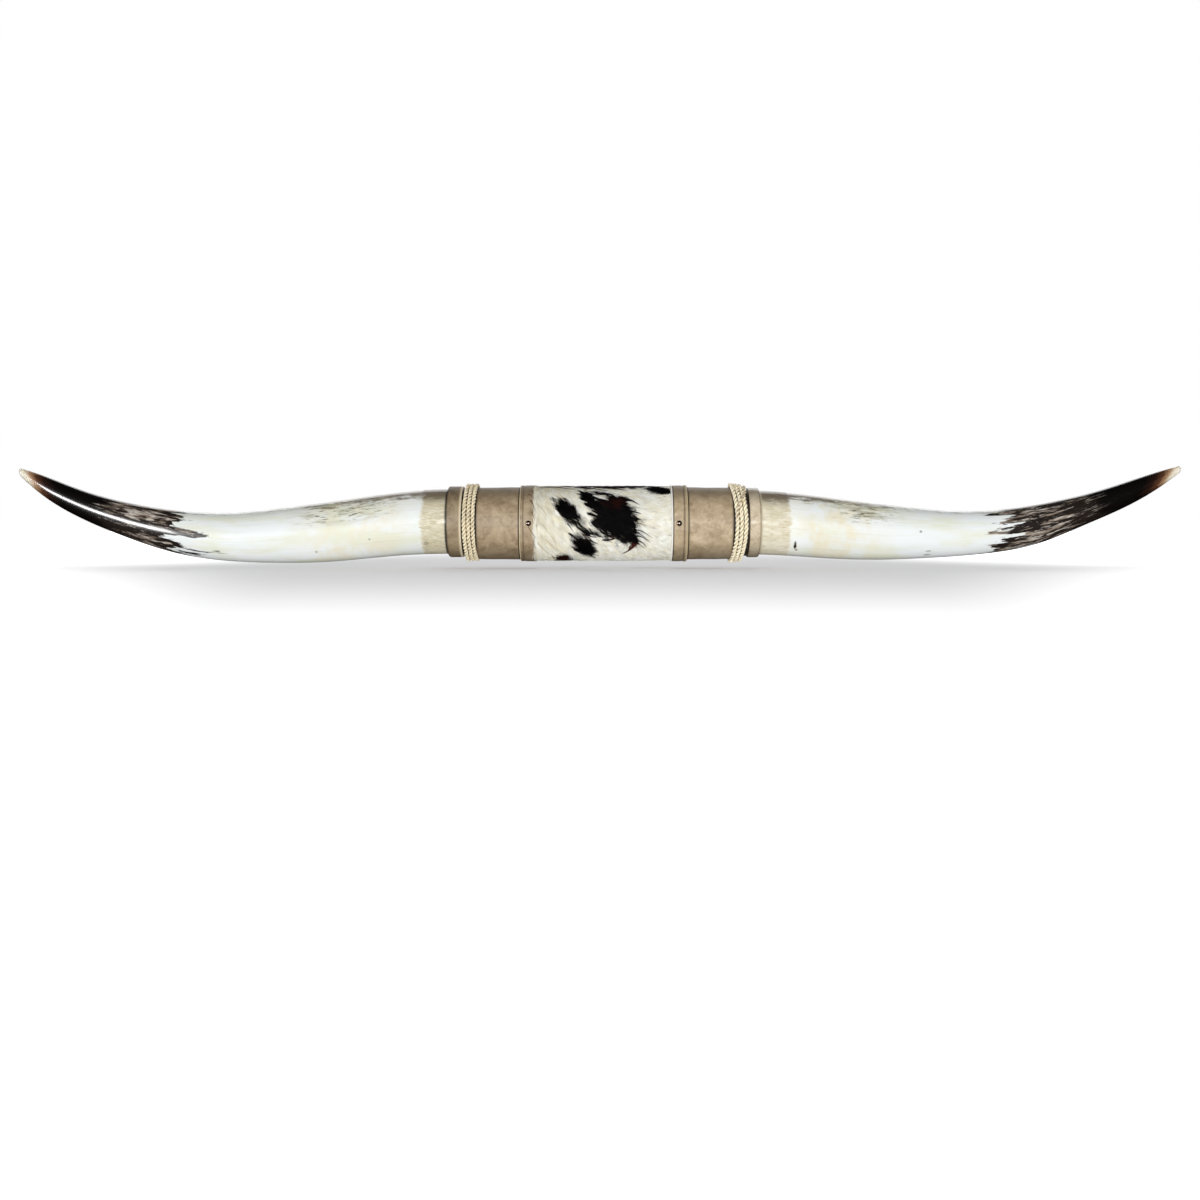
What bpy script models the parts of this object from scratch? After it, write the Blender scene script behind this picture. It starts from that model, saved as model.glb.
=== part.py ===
"""Longhorn steer horns on a wall mount.

Two polished horns stand on the tenons of one wooden core. A cowhide wrap covers the middle of the core.
On each side a leather sleeve runs from the hide out over the horn's base, with a strap over its inner end,
a rope wound in the groove near its outer end and a collar around the horn. A steel keyhole plate on the
flat back hangs it on a wall.

The wall is the plane y = 0 and the front faces -Y. X runs along the horns and Z is up, all in metres.
"""

import math

import bmesh
import bpy
import numpy as np
from mathutils import Matrix, Vector

# Driving dimensions
TIP_REACH = 0.762            # half of the 60 inch span, tip to tip
AXIS_TO_WALL = 0.0548        # core axis to the wall
GAP = 0.0003                 # clearance between touching pieces

# Wooden core
CORE_RADIUS = 0.0457
CORE_FLAT = 0.0435           # depth of the flat back behind the axis
CORE_REACH = 0.1347          # half length of the thick middle
TENON_ROOT_RADIUS = 0.030
TENON_END_RADIUS = 0.024
TENON_REACH = 0.215

# Horns: reach from the middle, rise of the centre line, sweep to the front, thickness
LEFT_HORN = (
    (0.135, 0.0005, 0.0000, 0.0840),
    (0.206, 0.0026, 0.0005, 0.0865),
    (0.266, -0.0006, 0.0020, 0.0843),
    (0.319, -0.0066, 0.0045, 0.0817),
    (0.371, -0.0122, 0.0075, 0.0789),
    (0.424, -0.0160, 0.0105, 0.0730),
    (0.476, -0.0181, 0.0140, 0.0656),
    (0.528, -0.0154, 0.0175, 0.0600),
    (0.580, -0.0068, 0.0210, 0.0524),
    (0.632, 0.0073, 0.0240, 0.0424),
    (0.684, 0.0263, 0.0270, 0.0340),
    (0.735, 0.0518, 0.0292, 0.0214),
    (TIP_REACH, 0.0680, 0.0300, 0.0080),
)
RIGHT_HORN = (
    (0.135, 0.0000, 0.0000, 0.0840),
    (0.214, 0.0010, 0.0005, 0.0854),
    (0.265, -0.0022, 0.0020, 0.0836),
    (0.318, -0.0073, 0.0045, 0.0800),
    (0.371, -0.0111, 0.0075, 0.0744),
    (0.423, -0.0130, 0.0105, 0.0672),
    (0.475, -0.0134, 0.0140, 0.0596),
    (0.527, -0.0098, 0.0175, 0.0556),
    (0.579, -0.0004, 0.0210, 0.0506),
    (0.631, 0.0156, 0.0240, 0.0394),
    (0.683, 0.0347, 0.0270, 0.0312),
    (0.735, 0.0580, 0.0292, 0.0184),
    (TIP_REACH, 0.0716, 0.0300, 0.0070),
)
HORN_SIDES = 20
HORN_RINGS = 24
TIP_CAP_RINGS = 3
HORN_DEPTH_SHARE = 0.95      # front-to-back thickness over height, clear of the sleeve
OVAL_FROM, OVAL_TO = 0.21, 0.30
SQUARE_FROM = 0.21           # reach from which the rings stand square to the centre line
SLOPE_STEP = 0.001           # how far apart the slope of the centre line is read
SOCKET_RINGS = 2
SOCKET_FIT = 0.0006          # from the tenon to the socket's wall

# Leather and hide: radius and depth of the flat back, both from the core axis
HIDE_RADIUS, HIDE_FLAT = 0.0513, 0.0485
SLEEVE_INNER_END_RADIUS, SLEEVE_FLAT = 0.0485, 0.0460
SLEEVE_GROOVE_END_RADIUS = 0.0475
LINER_THICKNESS = 0.0012
HORN_FIT = 0.0006            # from the horn to the liner around it
STRAP_THICKNESS, STRAP_FOLD_HEIGHT, STRAP_FOLD_WIDTH = 0.0015, 0.0006, 0.0045
EDGE_ROUND = 0.0010
WRAP_SIDES = 32

# Where each wrapping ends, as reach from the middle, and how the collar and the rope's centre line sit
SIDES = {
    "left": {
        "sign": -1, "horn": LEFT_HORN, "hide_end": 0.0850, "strap_end": 0.1053, "sleeve_end": 0.1598,
        "collar_start": 0.1813, "collar_end": 0.2009, "collar_radius": 0.0472, "collar_rise": 0.0020,
        "rope_start": 0.1628, "rope_rise": 0.0012, "rope_radius": 0.0490,
    },
    "right": {
        "sign": 1, "horn": RIGHT_HORN, "hide_end": 0.0954, "strap_end": 0.1149, "sleeve_end": 0.1742,
        "collar_start": 0.1957, "collar_end": 0.2106, "collar_radius": 0.0464, "collar_rise": 0.0012,
        "rope_start": 0.1760, "rope_rise": 0.0006, "rope_radius": 0.0484,
    },
}
COLLAR_SHOULDER = 0.0030
COLLAR_DROP = 0.0015         # how much smaller the collar is at the end of its shoulder
COLLAR_SHOULDER_TURNS = (0.0, 0.5, 1.0)

# Rope: turns side by side, stepping over to the next turn at the back
ROPE_DIAMETER = 0.0054
ROPE_TURNS = 3
ROPE_STEP_SHARE = 0.12       # share of a turn in which it steps over
ROPE_POINTS_A_TURN = 22
ROPE_ROUNDING = 2

# Tacks, one in the front of each strap and one in the back
TACK_HEAD_RADIUS, TACK_HEAD_HEIGHT = 0.0037, 0.0019
TACK_SHANK_RADIUS, TACK_LENGTH = 0.0009, 0.011

# Heads and points of tacks and screws, as shares of the head's or the shank's own size
HEAD_SHOULDER_TURN = math.radians(55)
HEAD_CROWN_SHARE, HEAD_RIM_SHARE, HEAD_SEAT_SHARE = 0.3, 0.12, 0.94
SHANK_SHARE, POINT_SHARE = 0.8, 0.3
TACK_DOME, SCREW_DOME = 1.0, 0.7
PIN_SIDES = 8

# Keyhole plate, whose raised pan leaves room for the wall screws' heads, and its own screws
PLATE_THICKNESS, PLATE_HEIGHT = 0.0015, 0.026
PLATE_REACH, PAN_REACH, PAN_SLOPE = 0.058, 0.040, 0.004
KEYHOLE_REACH, KEYHOLE_RADIUS, KEYHOLE_Z = 0.024, 0.00525, -0.0045
SLOT_HALF_WIDTH, SLOT_TOP_Z = 0.0027, 0.0060
KEYHOLE_ARC_STEPS, SLOT_ARC_STEPS = 14, 6
SCREW_REACH, SCREW_HEAD_RADIUS, SCREW_HEAD_HEIGHT = 0.0505, 0.0036, 0.0014
SCREW_SHANK_RADIUS, SCREW_LENGTH = 0.0018, 0.018

FRONT = Vector((0, -1, 0))
CUT_PAST = 0.004             # how far a cutter runs past what it cuts
SMOOTH_ANGLE = math.radians(35)


def clear_scene():
    for obj in list(bpy.data.objects):
        bpy.data.objects.remove(obj)


def make_material(name, colour, roughness, metallic=0.0):
    material = bpy.data.materials.new(name)
    material.use_nodes = True
    shader = material.node_tree.nodes["Principled BSDF"]
    shader.inputs["Base Color"].default_value = (*colour, 1.0)
    shader.inputs["Roughness"].default_value = roughness
    shader.inputs["Metallic"].default_value = metallic
    return material


def add_object(name, bm, material=None):
    """Turns a bmesh into an object with smooth rounds and sharp edges."""
    bmesh.ops.recalc_face_normals(bm, faces=bm.faces)
    mesh = bpy.data.meshes.new(name)
    bm.to_mesh(mesh)
    bm.free()
    mesh.shade_smooth()
    mesh.set_sharp_from_angle(angle=SMOOTH_ANGLE)
    obj = bpy.data.objects.new(name, mesh)
    bpy.context.scene.collection.objects.link(obj)
    if material:
        mesh.materials.append(material)
    return obj


def skin_rings(rings, joined_ends=False):
    """A bmesh skinned over rings of points, its ends capped or joined to each other, as in a tube's wall."""
    bm = bmesh.new()
    loops = [[bm.verts.new(point) for point in ring] for ring in rings]
    count = len(loops[0])
    pairs = list(zip(loops, loops[1:]))
    if joined_ends:
        pairs.append((loops[-1], loops[0]))
    for one, other in pairs:
        for i in range(count):
            j = (i + 1) % count
            bm.faces.new((one[i], one[j], other[j], other[i]))
    if not joined_ends:
        bm.faces.new(loops[0])
        bm.faces.new(loops[-1])
    return bm


def smooth_curve(knots, values):
    """The natural cubic spline through the given points, as a function."""
    knots, values = np.array(knots), np.array(values)
    step = np.diff(knots)
    slope = np.diff(values) / step
    count = len(knots)
    matrix, right = np.eye(count), np.zeros(count)
    for i in range(1, count - 1):
        matrix[i, i - 1:i + 2] = step[i - 1], 2 * (step[i - 1] + step[i]), step[i]
        right[i] = 6 * (slope[i] - slope[i - 1])
    bend = np.linalg.solve(matrix, right)

    def at(x):
        i = min(max(int(np.searchsorted(knots, x)) - 1, 0), count - 2)
        t = x - knots[i]
        first = slope[i] - step[i] * (2 * bend[i] + bend[i + 1]) / 6
        third = (bend[i + 1] - bend[i]) / (6 * step[i])
        return float(values[i] + t * (first + t * (bend[i] / 2 + t * third)))

    return at


def ease(value, low, high):
    """0 up to low, 1 from high on, and smooth between them."""
    t = min(max((value - low) / (high - low), 0.0), 1.0)
    return t * t * (3 - 2 * t)


class HornLine:
    """A horn's centre line and thickness, as functions of the reach."""

    def __init__(self, stations, sign):
        reach, rise, sweep, thickness = zip(*stations)
        self.sign = sign
        self.base = reach[0]
        self.rise = smooth_curve(reach, rise)
        self.sweep = smooth_curve(reach, sweep)
        self.thickness = smooth_curve(reach, thickness)

    def centre(self, reach):
        return Vector((self.sign * reach, -AXIS_TO_WALL - self.sweep(reach), self.rise(reach)))

    def ring(self, reach, radius):
        """Points around the centre line, upright at the base and square to the line further out."""
        slope = (self.centre(reach + SLOPE_STEP) - self.centre(reach - SLOPE_STEP)).normalized()
        along = Vector((self.sign, 0, 0)).lerp(slope, ease(reach, self.base, SQUARE_FROM)).normalized()
        front = (FRONT - along * along.dot(FRONT)).normalized()
        up = front.cross(along) * self.sign
        depth_share = 1 - (1 - HORN_DEPTH_SHARE) * ease(reach, OVAL_FROM, OVAL_TO)
        points = []
        for i in range(HORN_SIDES):
            turn = 2 * math.pi * i / HORN_SIDES
            across = front * math.cos(turn) * depth_share + up * math.sin(turn)
            points.append(self.centre(reach) + across * radius)
        return points


def make_horn(side, material):
    """A horn from its rounded tip to its flat base, with the socket that takes the core's tenon."""
    line = HornLine(side["horn"], side["sign"])
    tip_radius = side["horn"][-1][3] / 2
    cap_start = TIP_REACH - tip_radius
    rings = []
    for i in range(TIP_CAP_RINGS):
        turn = math.pi / 2 * (i + 0.5) / TIP_CAP_RINGS
        radius = line.thickness(cap_start) / 2 * math.sin(turn)
        rings.append(line.ring(cap_start + tip_radius * math.cos(turn), radius))
    for i in range(HORN_RINGS + 1):
        reach = line.base + (cap_start - line.base) * math.cos(math.pi / 2 * i / HORN_RINGS)
        rings.append(line.ring(reach, line.thickness(reach) / 2))
    taper = (TENON_ROOT_RADIUS - TENON_END_RADIUS) / (TENON_REACH - CORE_REACH)
    for i in range(SOCKET_RINGS + 1):
        depth = (TENON_REACH + GAP - line.base) * i / SOCKET_RINGS
        radius = TENON_ROOT_RADIUS + SOCKET_FIT - taper * depth
        rings.append(core_ring(side["sign"] * (line.base + depth), 0, radius, HORN_SIDES))
    return add_object(f"{side_name(side)}_horn", skin_rings(rings), material)


def side_name(side):
    return "left" if side["sign"] < 0 else "right"


def core_ring(x, rise, radius, sides=WRAP_SIDES, flat=math.inf):
    """Points of a circle around the core's axis, cut off by the flat back where the circle passes it."""
    points = []
    for i in range(sides):
        turn = 2 * math.pi * (i + 0.5) / sides
        behind = min(-radius * math.cos(turn), flat)
        points.append(Vector((x, behind - AXIS_TO_WALL, rise + radius * math.sin(turn))))
    return points


def make_core(material):
    """The turned core: a tenon, the thick middle with its flat back, and the other tenon."""
    rings = []
    for sign in (-1, 1):
        half = [
            core_ring(sign * TENON_REACH, 0, TENON_END_RADIUS),
            core_ring(sign * CORE_REACH, 0, TENON_ROOT_RADIUS),
            core_ring(sign * CORE_REACH, 0, CORE_RADIUS - EDGE_ROUND, flat=CORE_FLAT - EDGE_ROUND),
            core_ring(sign * (CORE_REACH - EDGE_ROUND), 0, CORE_RADIUS, flat=CORE_FLAT),
        ]
        rings += half if sign < 0 else half[::-1]
    return add_object("wood_core", skin_rings(rings), material)


def make_hide(material):
    """The cowhide wrap, out to the tips of its hair."""
    left, right = -SIDES["left"]["hide_end"], SIDES["right"]["hide_end"]
    inner, inner_flat = CORE_RADIUS + GAP, CORE_FLAT + GAP
    round_off = 2 * EDGE_ROUND
    rings = [
        core_ring(left, 0, inner, flat=inner_flat),
        core_ring(left, 0, HIDE_RADIUS - round_off, flat=HIDE_FLAT - round_off),
        core_ring(left + round_off, 0, HIDE_RADIUS, flat=HIDE_FLAT),
        core_ring(right - round_off, 0, HIDE_RADIUS, flat=HIDE_FLAT),
        core_ring(right, 0, HIDE_RADIUS - round_off, flat=HIDE_FLAT - round_off),
        core_ring(right, 0, inner, flat=inner_flat),
    ]
    return add_object("cowhide_wrap", skin_rings(rings, joined_ends=True), material)


def make_sleeve(side, material):
    """The sleeve from the hide's edge to the collar's end, a thin liner under the rope and the collar."""
    sign = side["sign"]
    line = HornLine(side["horn"], sign)
    start, end = side["hide_end"] + GAP, side["sleeve_end"]
    last = side["collar_end"] - EDGE_ROUND
    over_core = CORE_REACH + 2 * GAP
    inner_flat = CORE_FLAT + GAP

    def liner(reach, extra):
        return core_ring(sign * reach, line.rise(reach), line.thickness(reach) / 2 + extra, flat=SLEEVE_FLAT)

    rings = [
        core_ring(sign * start, 0, CORE_RADIUS + GAP, flat=inner_flat),
        core_ring(sign * start, 0, SLEEVE_INNER_END_RADIUS, flat=SLEEVE_FLAT),
        core_ring(sign * (end - EDGE_ROUND), 0, SLEEVE_GROOVE_END_RADIUS, flat=SLEEVE_FLAT),
        core_ring(sign * end, 0, SLEEVE_GROOVE_END_RADIUS - EDGE_ROUND, flat=SLEEVE_FLAT),
        liner(end, HORN_FIT + LINER_THICKNESS),
        liner(last, HORN_FIT + LINER_THICKNESS),
        liner(last, HORN_FIT),
        liner(end, HORN_FIT),
        liner(over_core, HORN_FIT),
        core_ring(sign * over_core, 0, CORE_RADIUS + GAP, flat=inner_flat),
    ]
    return add_object(f"{side_name(side)}_sleeve", skin_rings(rings, joined_ends=True), material)


def make_strap(side, material):
    """The strap over the sleeve's inner end, folded double along its outer edge."""
    sign = side["sign"]
    start, end = side["hide_end"] + GAP, side["strap_end"]
    inner, inner_flat = SLEEVE_INNER_END_RADIUS + GAP, SLEEVE_FLAT + GAP
    fold = end - STRAP_FOLD_WIDTH

    def ring(reach, height):
        return core_ring(sign * reach, 0, inner + height, flat=inner_flat + height)

    top = STRAP_THICKNESS + STRAP_FOLD_HEIGHT
    rings = [
        ring(start, 0),
        ring(start, STRAP_THICKNESS - EDGE_ROUND / 2),
        ring(start + EDGE_ROUND / 2, STRAP_THICKNESS),
        ring(fold, STRAP_THICKNESS),
        ring(fold + EDGE_ROUND / 2, top),
        ring(end - EDGE_ROUND, top),
        ring(end, 0),
    ]
    return add_object(f"{side_name(side)}_strap", skin_rings(rings, joined_ends=True), material)


def make_collar(side, material):
    """The collar around the sleeve's outer end, with a rolled shoulder towards the horn."""
    sign, radius, rise = side["sign"], side["collar_radius"], side["collar_rise"]
    line = HornLine(side["horn"], sign)
    start, end = side["collar_start"], side["collar_end"]

    def inside(reach):
        inner = line.thickness(reach) / 2 + HORN_FIT + LINER_THICKNESS + GAP
        return core_ring(sign * reach, line.rise(reach), inner)

    rings = [inside(start), core_ring(sign * start, rise, radius - EDGE_ROUND / 2)]
    rings.append(core_ring(sign * (start + EDGE_ROUND), rise, radius))
    for share in COLLAR_SHOULDER_TURNS:
        turn = math.pi / 2 * share
        reach = end - COLLAR_SHOULDER * (1 - math.sin(turn))
        drop = COLLAR_DROP * (1 - math.cos(turn))
        lift = (line.rise(reach) - rise) * share
        rings.append(core_ring(sign * reach, rise + lift, radius - drop))
    rings.append(inside(end))
    return add_object(f"{side_name(side)}_collar", skin_rings(rings, joined_ends=True), material)


def rope_points(side):
    """The rope's centre line, from its end at the back, around each turn, to its other end at the back."""
    pitch = ROPE_DIAMETER + GAP
    steps = round((ROPE_TURNS - ROPE_STEP_SHARE) * ROPE_POINTS_A_TURN)
    points = []
    for i in range(steps + 1):
        turns = (ROPE_TURNS - ROPE_STEP_SHARE) * i / steps
        lane = int(turns) + ease(turns % 1, 1 - ROPE_STEP_SHARE, 1)
        reach = side["rope_start"] + ROPE_DIAMETER / 2 + lane * pitch
        angle = 2 * math.pi * turns
        points.append(Vector((
            side["sign"] * reach,
            side["rope_radius"] * math.cos(angle) - AXIS_TO_WALL,
            side["rope_rise"] + side["rope_radius"] * math.sin(angle),
        )))
    return points


def make_rope(side, material):
    """The rope wound in the groove between the sleeve and the collar."""
    curve = bpy.data.curves.new(f"{side_name(side)}_rope", "CURVE")
    curve.dimensions = "3D"
    curve.bevel_depth = ROPE_DIAMETER / 2
    curve.bevel_resolution = ROPE_ROUNDING
    curve.use_fill_caps = True
    spline = curve.splines.new("POLY")
    points = rope_points(side)
    spline.points.add(len(points) - 1)
    for spline_point, point in zip(spline.points, points):
        spline_point.co = (*point, 1)
    curve.materials.append(material)
    obj = bpy.data.objects.new(f"{side_name(side)}_rope", curve)
    bpy.context.scene.collection.objects.link(obj)
    return obj


def turned_pin(name, place, profile, material=None):
    """A pin turned around the place's own Y axis, from a profile of (height, radius)."""
    rings = []
    for height, radius in profile:
        angles = [2 * math.pi * i / PIN_SIDES for i in range(PIN_SIDES)]
        rings.append([Vector((radius * math.cos(a), height, radius * math.sin(a))) for a in angles])
    obj = add_object(name, skin_rings(rings), material)
    obj.matrix_world = place
    return obj


def pin_profile(head_radius, head_height, shank_radius, length, dome):
    """A rounded head over a shank with a short point. Height 0 is the underside of the head."""
    shoulder_height = head_height * (1 - dome * (1 - math.cos(HEAD_SHOULDER_TURN)))
    return [
        (head_height, head_radius * HEAD_CROWN_SHARE),
        (shoulder_height, head_radius * math.sin(HEAD_SHOULDER_TURN)),
        (head_height * HEAD_RIM_SHARE, head_radius),
        (0, head_radius * HEAD_SEAT_SHARE),
        (0, shank_radius),
        (-length * SHANK_SHARE, shank_radius),
        (-length, shank_radius * POINT_SHARE),
    ]


def as_cutter(obj):
    obj.hide_render = True
    obj.display_type = "WIRE"
    return obj


def cut(obj, cutter):
    modifier = obj.modifiers.new(f"cut_{cutter.name}", "BOOLEAN")
    modifier.operation = "DIFFERENCE"
    modifier.object = cutter


def pin_hole(name, place, radius, depth):
    return as_cutter(turned_pin(name, place, [(CUT_PAST, radius), (-depth, radius)]))


def make_tacks(side, cut_pieces, material):
    """A tack in the front of the strap and one in its back, in holes through the leather into the core."""
    name = side_name(side)
    reach = (side["hide_end"] + side["strap_end"] - STRAP_FOLD_WIDTH) / 2
    seats = {
        "front": (-(SLEEVE_INNER_END_RADIUS + 2 * GAP + STRAP_THICKNESS), math.pi),
        "back": (SLEEVE_FLAT + 2 * GAP + STRAP_THICKNESS, 0.0),
    }
    profile = pin_profile(TACK_HEAD_RADIUS, TACK_HEAD_HEIGHT, TACK_SHANK_RADIUS, TACK_LENGTH, TACK_DOME)
    for face, (behind, half_turn) in seats.items():
        seat = Matrix.Translation((side["sign"] * reach, behind - AXIS_TO_WALL, 0))
        place = seat @ Matrix.Rotation(half_turn, 4, "Z")
        turned_pin(f"{name}_tack_{face}", place, profile, material)
        hole = pin_hole(f"{name}_tack_hole_{face}", place, TACK_SHANK_RADIUS + GAP, TACK_LENGTH + 2 * GAP)
        for piece in cut_pieces:
            cut(piece, hole)


def prism(name, outline, y_from, y_to):
    """A closed prism between two depths, from an outline of (x, z) points."""
    rings = [[Vector((x, y, z)) for x, z in outline] for y in (y_from, y_to)]
    return add_object(name, skin_rings(rings))


def make_hanger_plate(material):
    """The pressed steel plate: a raised pan with two keyholes between two flat ends for the screws."""
    flange_back = HIDE_FLAT + GAP + PLATE_THICKNESS - AXIS_TO_WALL
    half_run = [
        (PLATE_REACH, flange_back - PLATE_THICKNESS),
        (PLATE_REACH, flange_back),
        (PAN_REACH + PAN_SLOPE, flange_back),
        (PAN_REACH, 0.0),
    ]
    inner_run = [(PAN_REACH, -PLATE_THICKNESS), (PAN_REACH + PAN_SLOPE, flange_back - PLATE_THICKNESS)]
    other_half = [(-x, y) for x, y in half_run[::-1] + inner_run[::-1]]
    section = half_run + other_half + inner_run
    rings = [[Vector((x, y, z)) for x, y in section] for z in (-PLATE_HEIGHT / 2, PLATE_HEIGHT / 2)]
    plate = add_object("hanger_plate", skin_rings(rings), material)
    for sign in (-1, 1):
        cutter = prism(f"keyhole_{sign}", keyhole_outline(sign * KEYHOLE_REACH), -CUT_PAST, CUT_PAST)
        cut(plate, as_cutter(cutter))
    return plate


def keyhole_outline(x):
    """A round hole for a screw's head, with a slot for its neck rising from it."""
    points = []
    half_gap = math.asin(SLOT_HALF_WIDTH / KEYHOLE_RADIUS)
    for i in range(KEYHOLE_ARC_STEPS + 1):
        angle = math.pi / 2 + half_gap + 2 * (math.pi - half_gap) * i / KEYHOLE_ARC_STEPS
        points.append((x + KEYHOLE_RADIUS * math.cos(angle), KEYHOLE_Z + KEYHOLE_RADIUS * math.sin(angle)))
    for i in range(SLOT_ARC_STEPS + 1):
        angle = math.pi * i / SLOT_ARC_STEPS
        rise = SLOT_TOP_Z + SLOT_HALF_WIDTH * math.sin(angle)
        points.append((x + SLOT_HALF_WIDTH * math.cos(angle), rise))
    return points


def make_hanger(core, hide, material):
    """The plate and its two screws."""
    plate = make_hanger_plate(material)
    seat = HIDE_FLAT + 2 * GAP + PLATE_THICKNESS - AXIS_TO_WALL
    profile = pin_profile(SCREW_HEAD_RADIUS, SCREW_HEAD_HEIGHT, SCREW_SHANK_RADIUS, SCREW_LENGTH, SCREW_DOME)
    for sign, name in ((-1, "left"), (1, "right")):
        place = Matrix.Translation((sign * SCREW_REACH, seat, 0))
        turned_pin(f"{name}_hanger_screw", place, profile, material)
        hole = pin_hole(f"{name}_screw_hole", place, SCREW_SHANK_RADIUS + GAP, SCREW_LENGTH + 2 * GAP)
        for piece in (plate, hide, core):
            cut(piece, hole)


def main():
    clear_scene()
    horn = make_material("horn", (0.78, 0.74, 0.62), 0.2)
    wood = make_material("wood", (0.45, 0.30, 0.17), 0.7)
    cowhide = make_material("cowhide", (0.80, 0.77, 0.66), 0.9)
    leather = make_material("leather", (0.36, 0.28, 0.20), 0.55)
    rope = make_material("rope", (0.76, 0.64, 0.42), 0.85)
    tack = make_material("tack", (0.16, 0.11, 0.08), 0.3, 1.0)
    steel = make_material("steel", (0.55, 0.55, 0.53), 0.4, 1.0)

    core = make_core(wood)
    hide = make_hide(cowhide)
    for side in SIDES.values():
        make_horn(side, horn)
        sleeve = make_sleeve(side, leather)
        strap = make_strap(side, leather)
        make_collar(side, leather)
        make_rope(side, rope)
        make_tacks(side, (strap, sleeve, core), tack)
    make_hanger(core, hide, steel)


main()
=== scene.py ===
"""Dresses the longhorn horns: polished horn, leather, rope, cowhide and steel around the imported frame.

The wall is the plane y = 0, the front faces -Y, X runs along the horns and Z is up. All values are in metres.
"""

import logging
import math
from collections.abc import Sequence
from dataclasses import dataclass, field
from enum import Enum

import bmesh
import bpy
import numpy as np
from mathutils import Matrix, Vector


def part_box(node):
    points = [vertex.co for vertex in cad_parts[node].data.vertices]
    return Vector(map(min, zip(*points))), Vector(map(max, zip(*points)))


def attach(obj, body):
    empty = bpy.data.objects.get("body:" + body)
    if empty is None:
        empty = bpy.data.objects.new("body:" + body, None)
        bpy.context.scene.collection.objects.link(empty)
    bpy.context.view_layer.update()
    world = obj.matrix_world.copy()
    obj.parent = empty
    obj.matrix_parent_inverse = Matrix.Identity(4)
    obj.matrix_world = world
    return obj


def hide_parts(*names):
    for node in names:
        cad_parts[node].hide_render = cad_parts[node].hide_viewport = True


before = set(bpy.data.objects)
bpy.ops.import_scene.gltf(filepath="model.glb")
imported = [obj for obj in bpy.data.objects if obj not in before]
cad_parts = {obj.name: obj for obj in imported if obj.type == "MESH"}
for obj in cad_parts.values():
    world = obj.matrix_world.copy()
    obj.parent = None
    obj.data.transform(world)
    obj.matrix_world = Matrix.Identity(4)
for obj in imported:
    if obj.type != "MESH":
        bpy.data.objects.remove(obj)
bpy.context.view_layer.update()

LOG = logging.getLogger("horns")

# Driving dimensions, shared with the frame
AXIS_Y = -0.0548             # depth of the core's axis
TIP_REACH = 0.762            # half of the span, tip to tip
FULL_TURN = 2 * math.pi
WRAP_SMOOTH = 50.0           # degrees, past which an edge of the wraps stays crisp

Point = tuple[float, float, float]
Colour = tuple[float, float, float]
Socket = bpy.types.NodeSocket
Piece = bpy.types.Object
Paint = bpy.types.Material
ORIGIN: Point = (0.0, 0.0, 0.0)


class Side(Enum):
    """One end of the mount, with the sign of its X direction."""

    LEFT = -1
    RIGHT = 1

    @property
    def word(self) -> str:
        """The side's name, as the pieces' names start with it."""
        return self.name.lower()


class RingEnds(Enum):
    """How the first and last ring of a grown form are closed."""

    CAPPED = "both ends are filled with a face"
    TIP = "the first ring closes in a point and the last one is filled"
    TUBE = "the last ring is bridged back to the first, as in a tube's wall"


def srgb(red: int, green: int, blue: int) -> Colour:
    """Turns a colour as seen, 0 to 255, into scene light.

    Args:
        red: Red, 0 to 255.
        green: Green, 0 to 255.
        blue: Blue, 0 to 255.

    Returns:
        The same colour in linear light.
    """
    values = []
    for channel in (red, green, blue):
        share = channel / 255
        values.append(share / 12.92 if share <= 0.04045 else ((share + 0.055) / 1.055) ** 2.4)
    return tuple(values)


def ease(value: np.ndarray | float, low: float, high: float) -> np.ndarray | float:
    """Runs smoothly from 0 up to low to 1 from high on."""
    share = np.clip((value - low) / (high - low), 0.0, 1.0)
    return share * share * (3 - 2 * share)


def unit(rows: np.ndarray) -> np.ndarray:
    """The same directions, each of length 1."""
    return rows / np.linalg.norm(rows, axis=1)[:, None]


class Spline:
    """The natural cubic spline through a few measured values."""

    def __init__(self, knots: Sequence[float], values: Sequence[float]) -> None:
        """Solves the spline.

        Args:
            knots: Where the values were measured, rising.
            values: The values there.
        """
        self.knots = np.array(knots)
        self.values = np.array(values)
        self.step = np.diff(self.knots)
        self.slope = np.diff(self.values) / self.step
        count = len(self.knots)
        matrix = np.eye(count)
        right = np.zeros(count)
        for i in range(1, count - 1):
            before, after = self.step[i - 1], self.step[i]
            matrix[i, i - 1:i + 2] = before, 2 * (before + after), after
            right[i] = 6 * (self.slope[i] - self.slope[i - 1])
        self.bend = np.linalg.solve(matrix, right)

    def at(self, place: np.ndarray | float) -> np.ndarray:
        """Reads the spline.

        Args:
            place: One place or an array of them.

        Returns:
            The value at each place.
        """
        i = np.clip(np.searchsorted(self.knots, place) - 1, 0, len(self.knots) - 2)
        t = place - self.knots[i]
        first = self.slope[i] - self.step[i] * (2 * self.bend[i] + self.bend[i + 1]) / 6
        third = (self.bend[i + 1] - self.bend[i]) / (6 * self.step[i])
        return self.values[i] + t * (first + t * (self.bend[i] / 2 + t * third))


@dataclass(frozen=True)
class Ring:
    """An upright ring around X: its centre, its half sizes and the flat that it can't reach behind."""

    x: float
    z: float
    depth: float
    height: float
    y: float = AXIS_Y
    flat: float = math.inf

    @property
    def centre(self) -> Vector:
        """The ring's middle."""
        return Vector((self.x, self.y, self.z))


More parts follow.
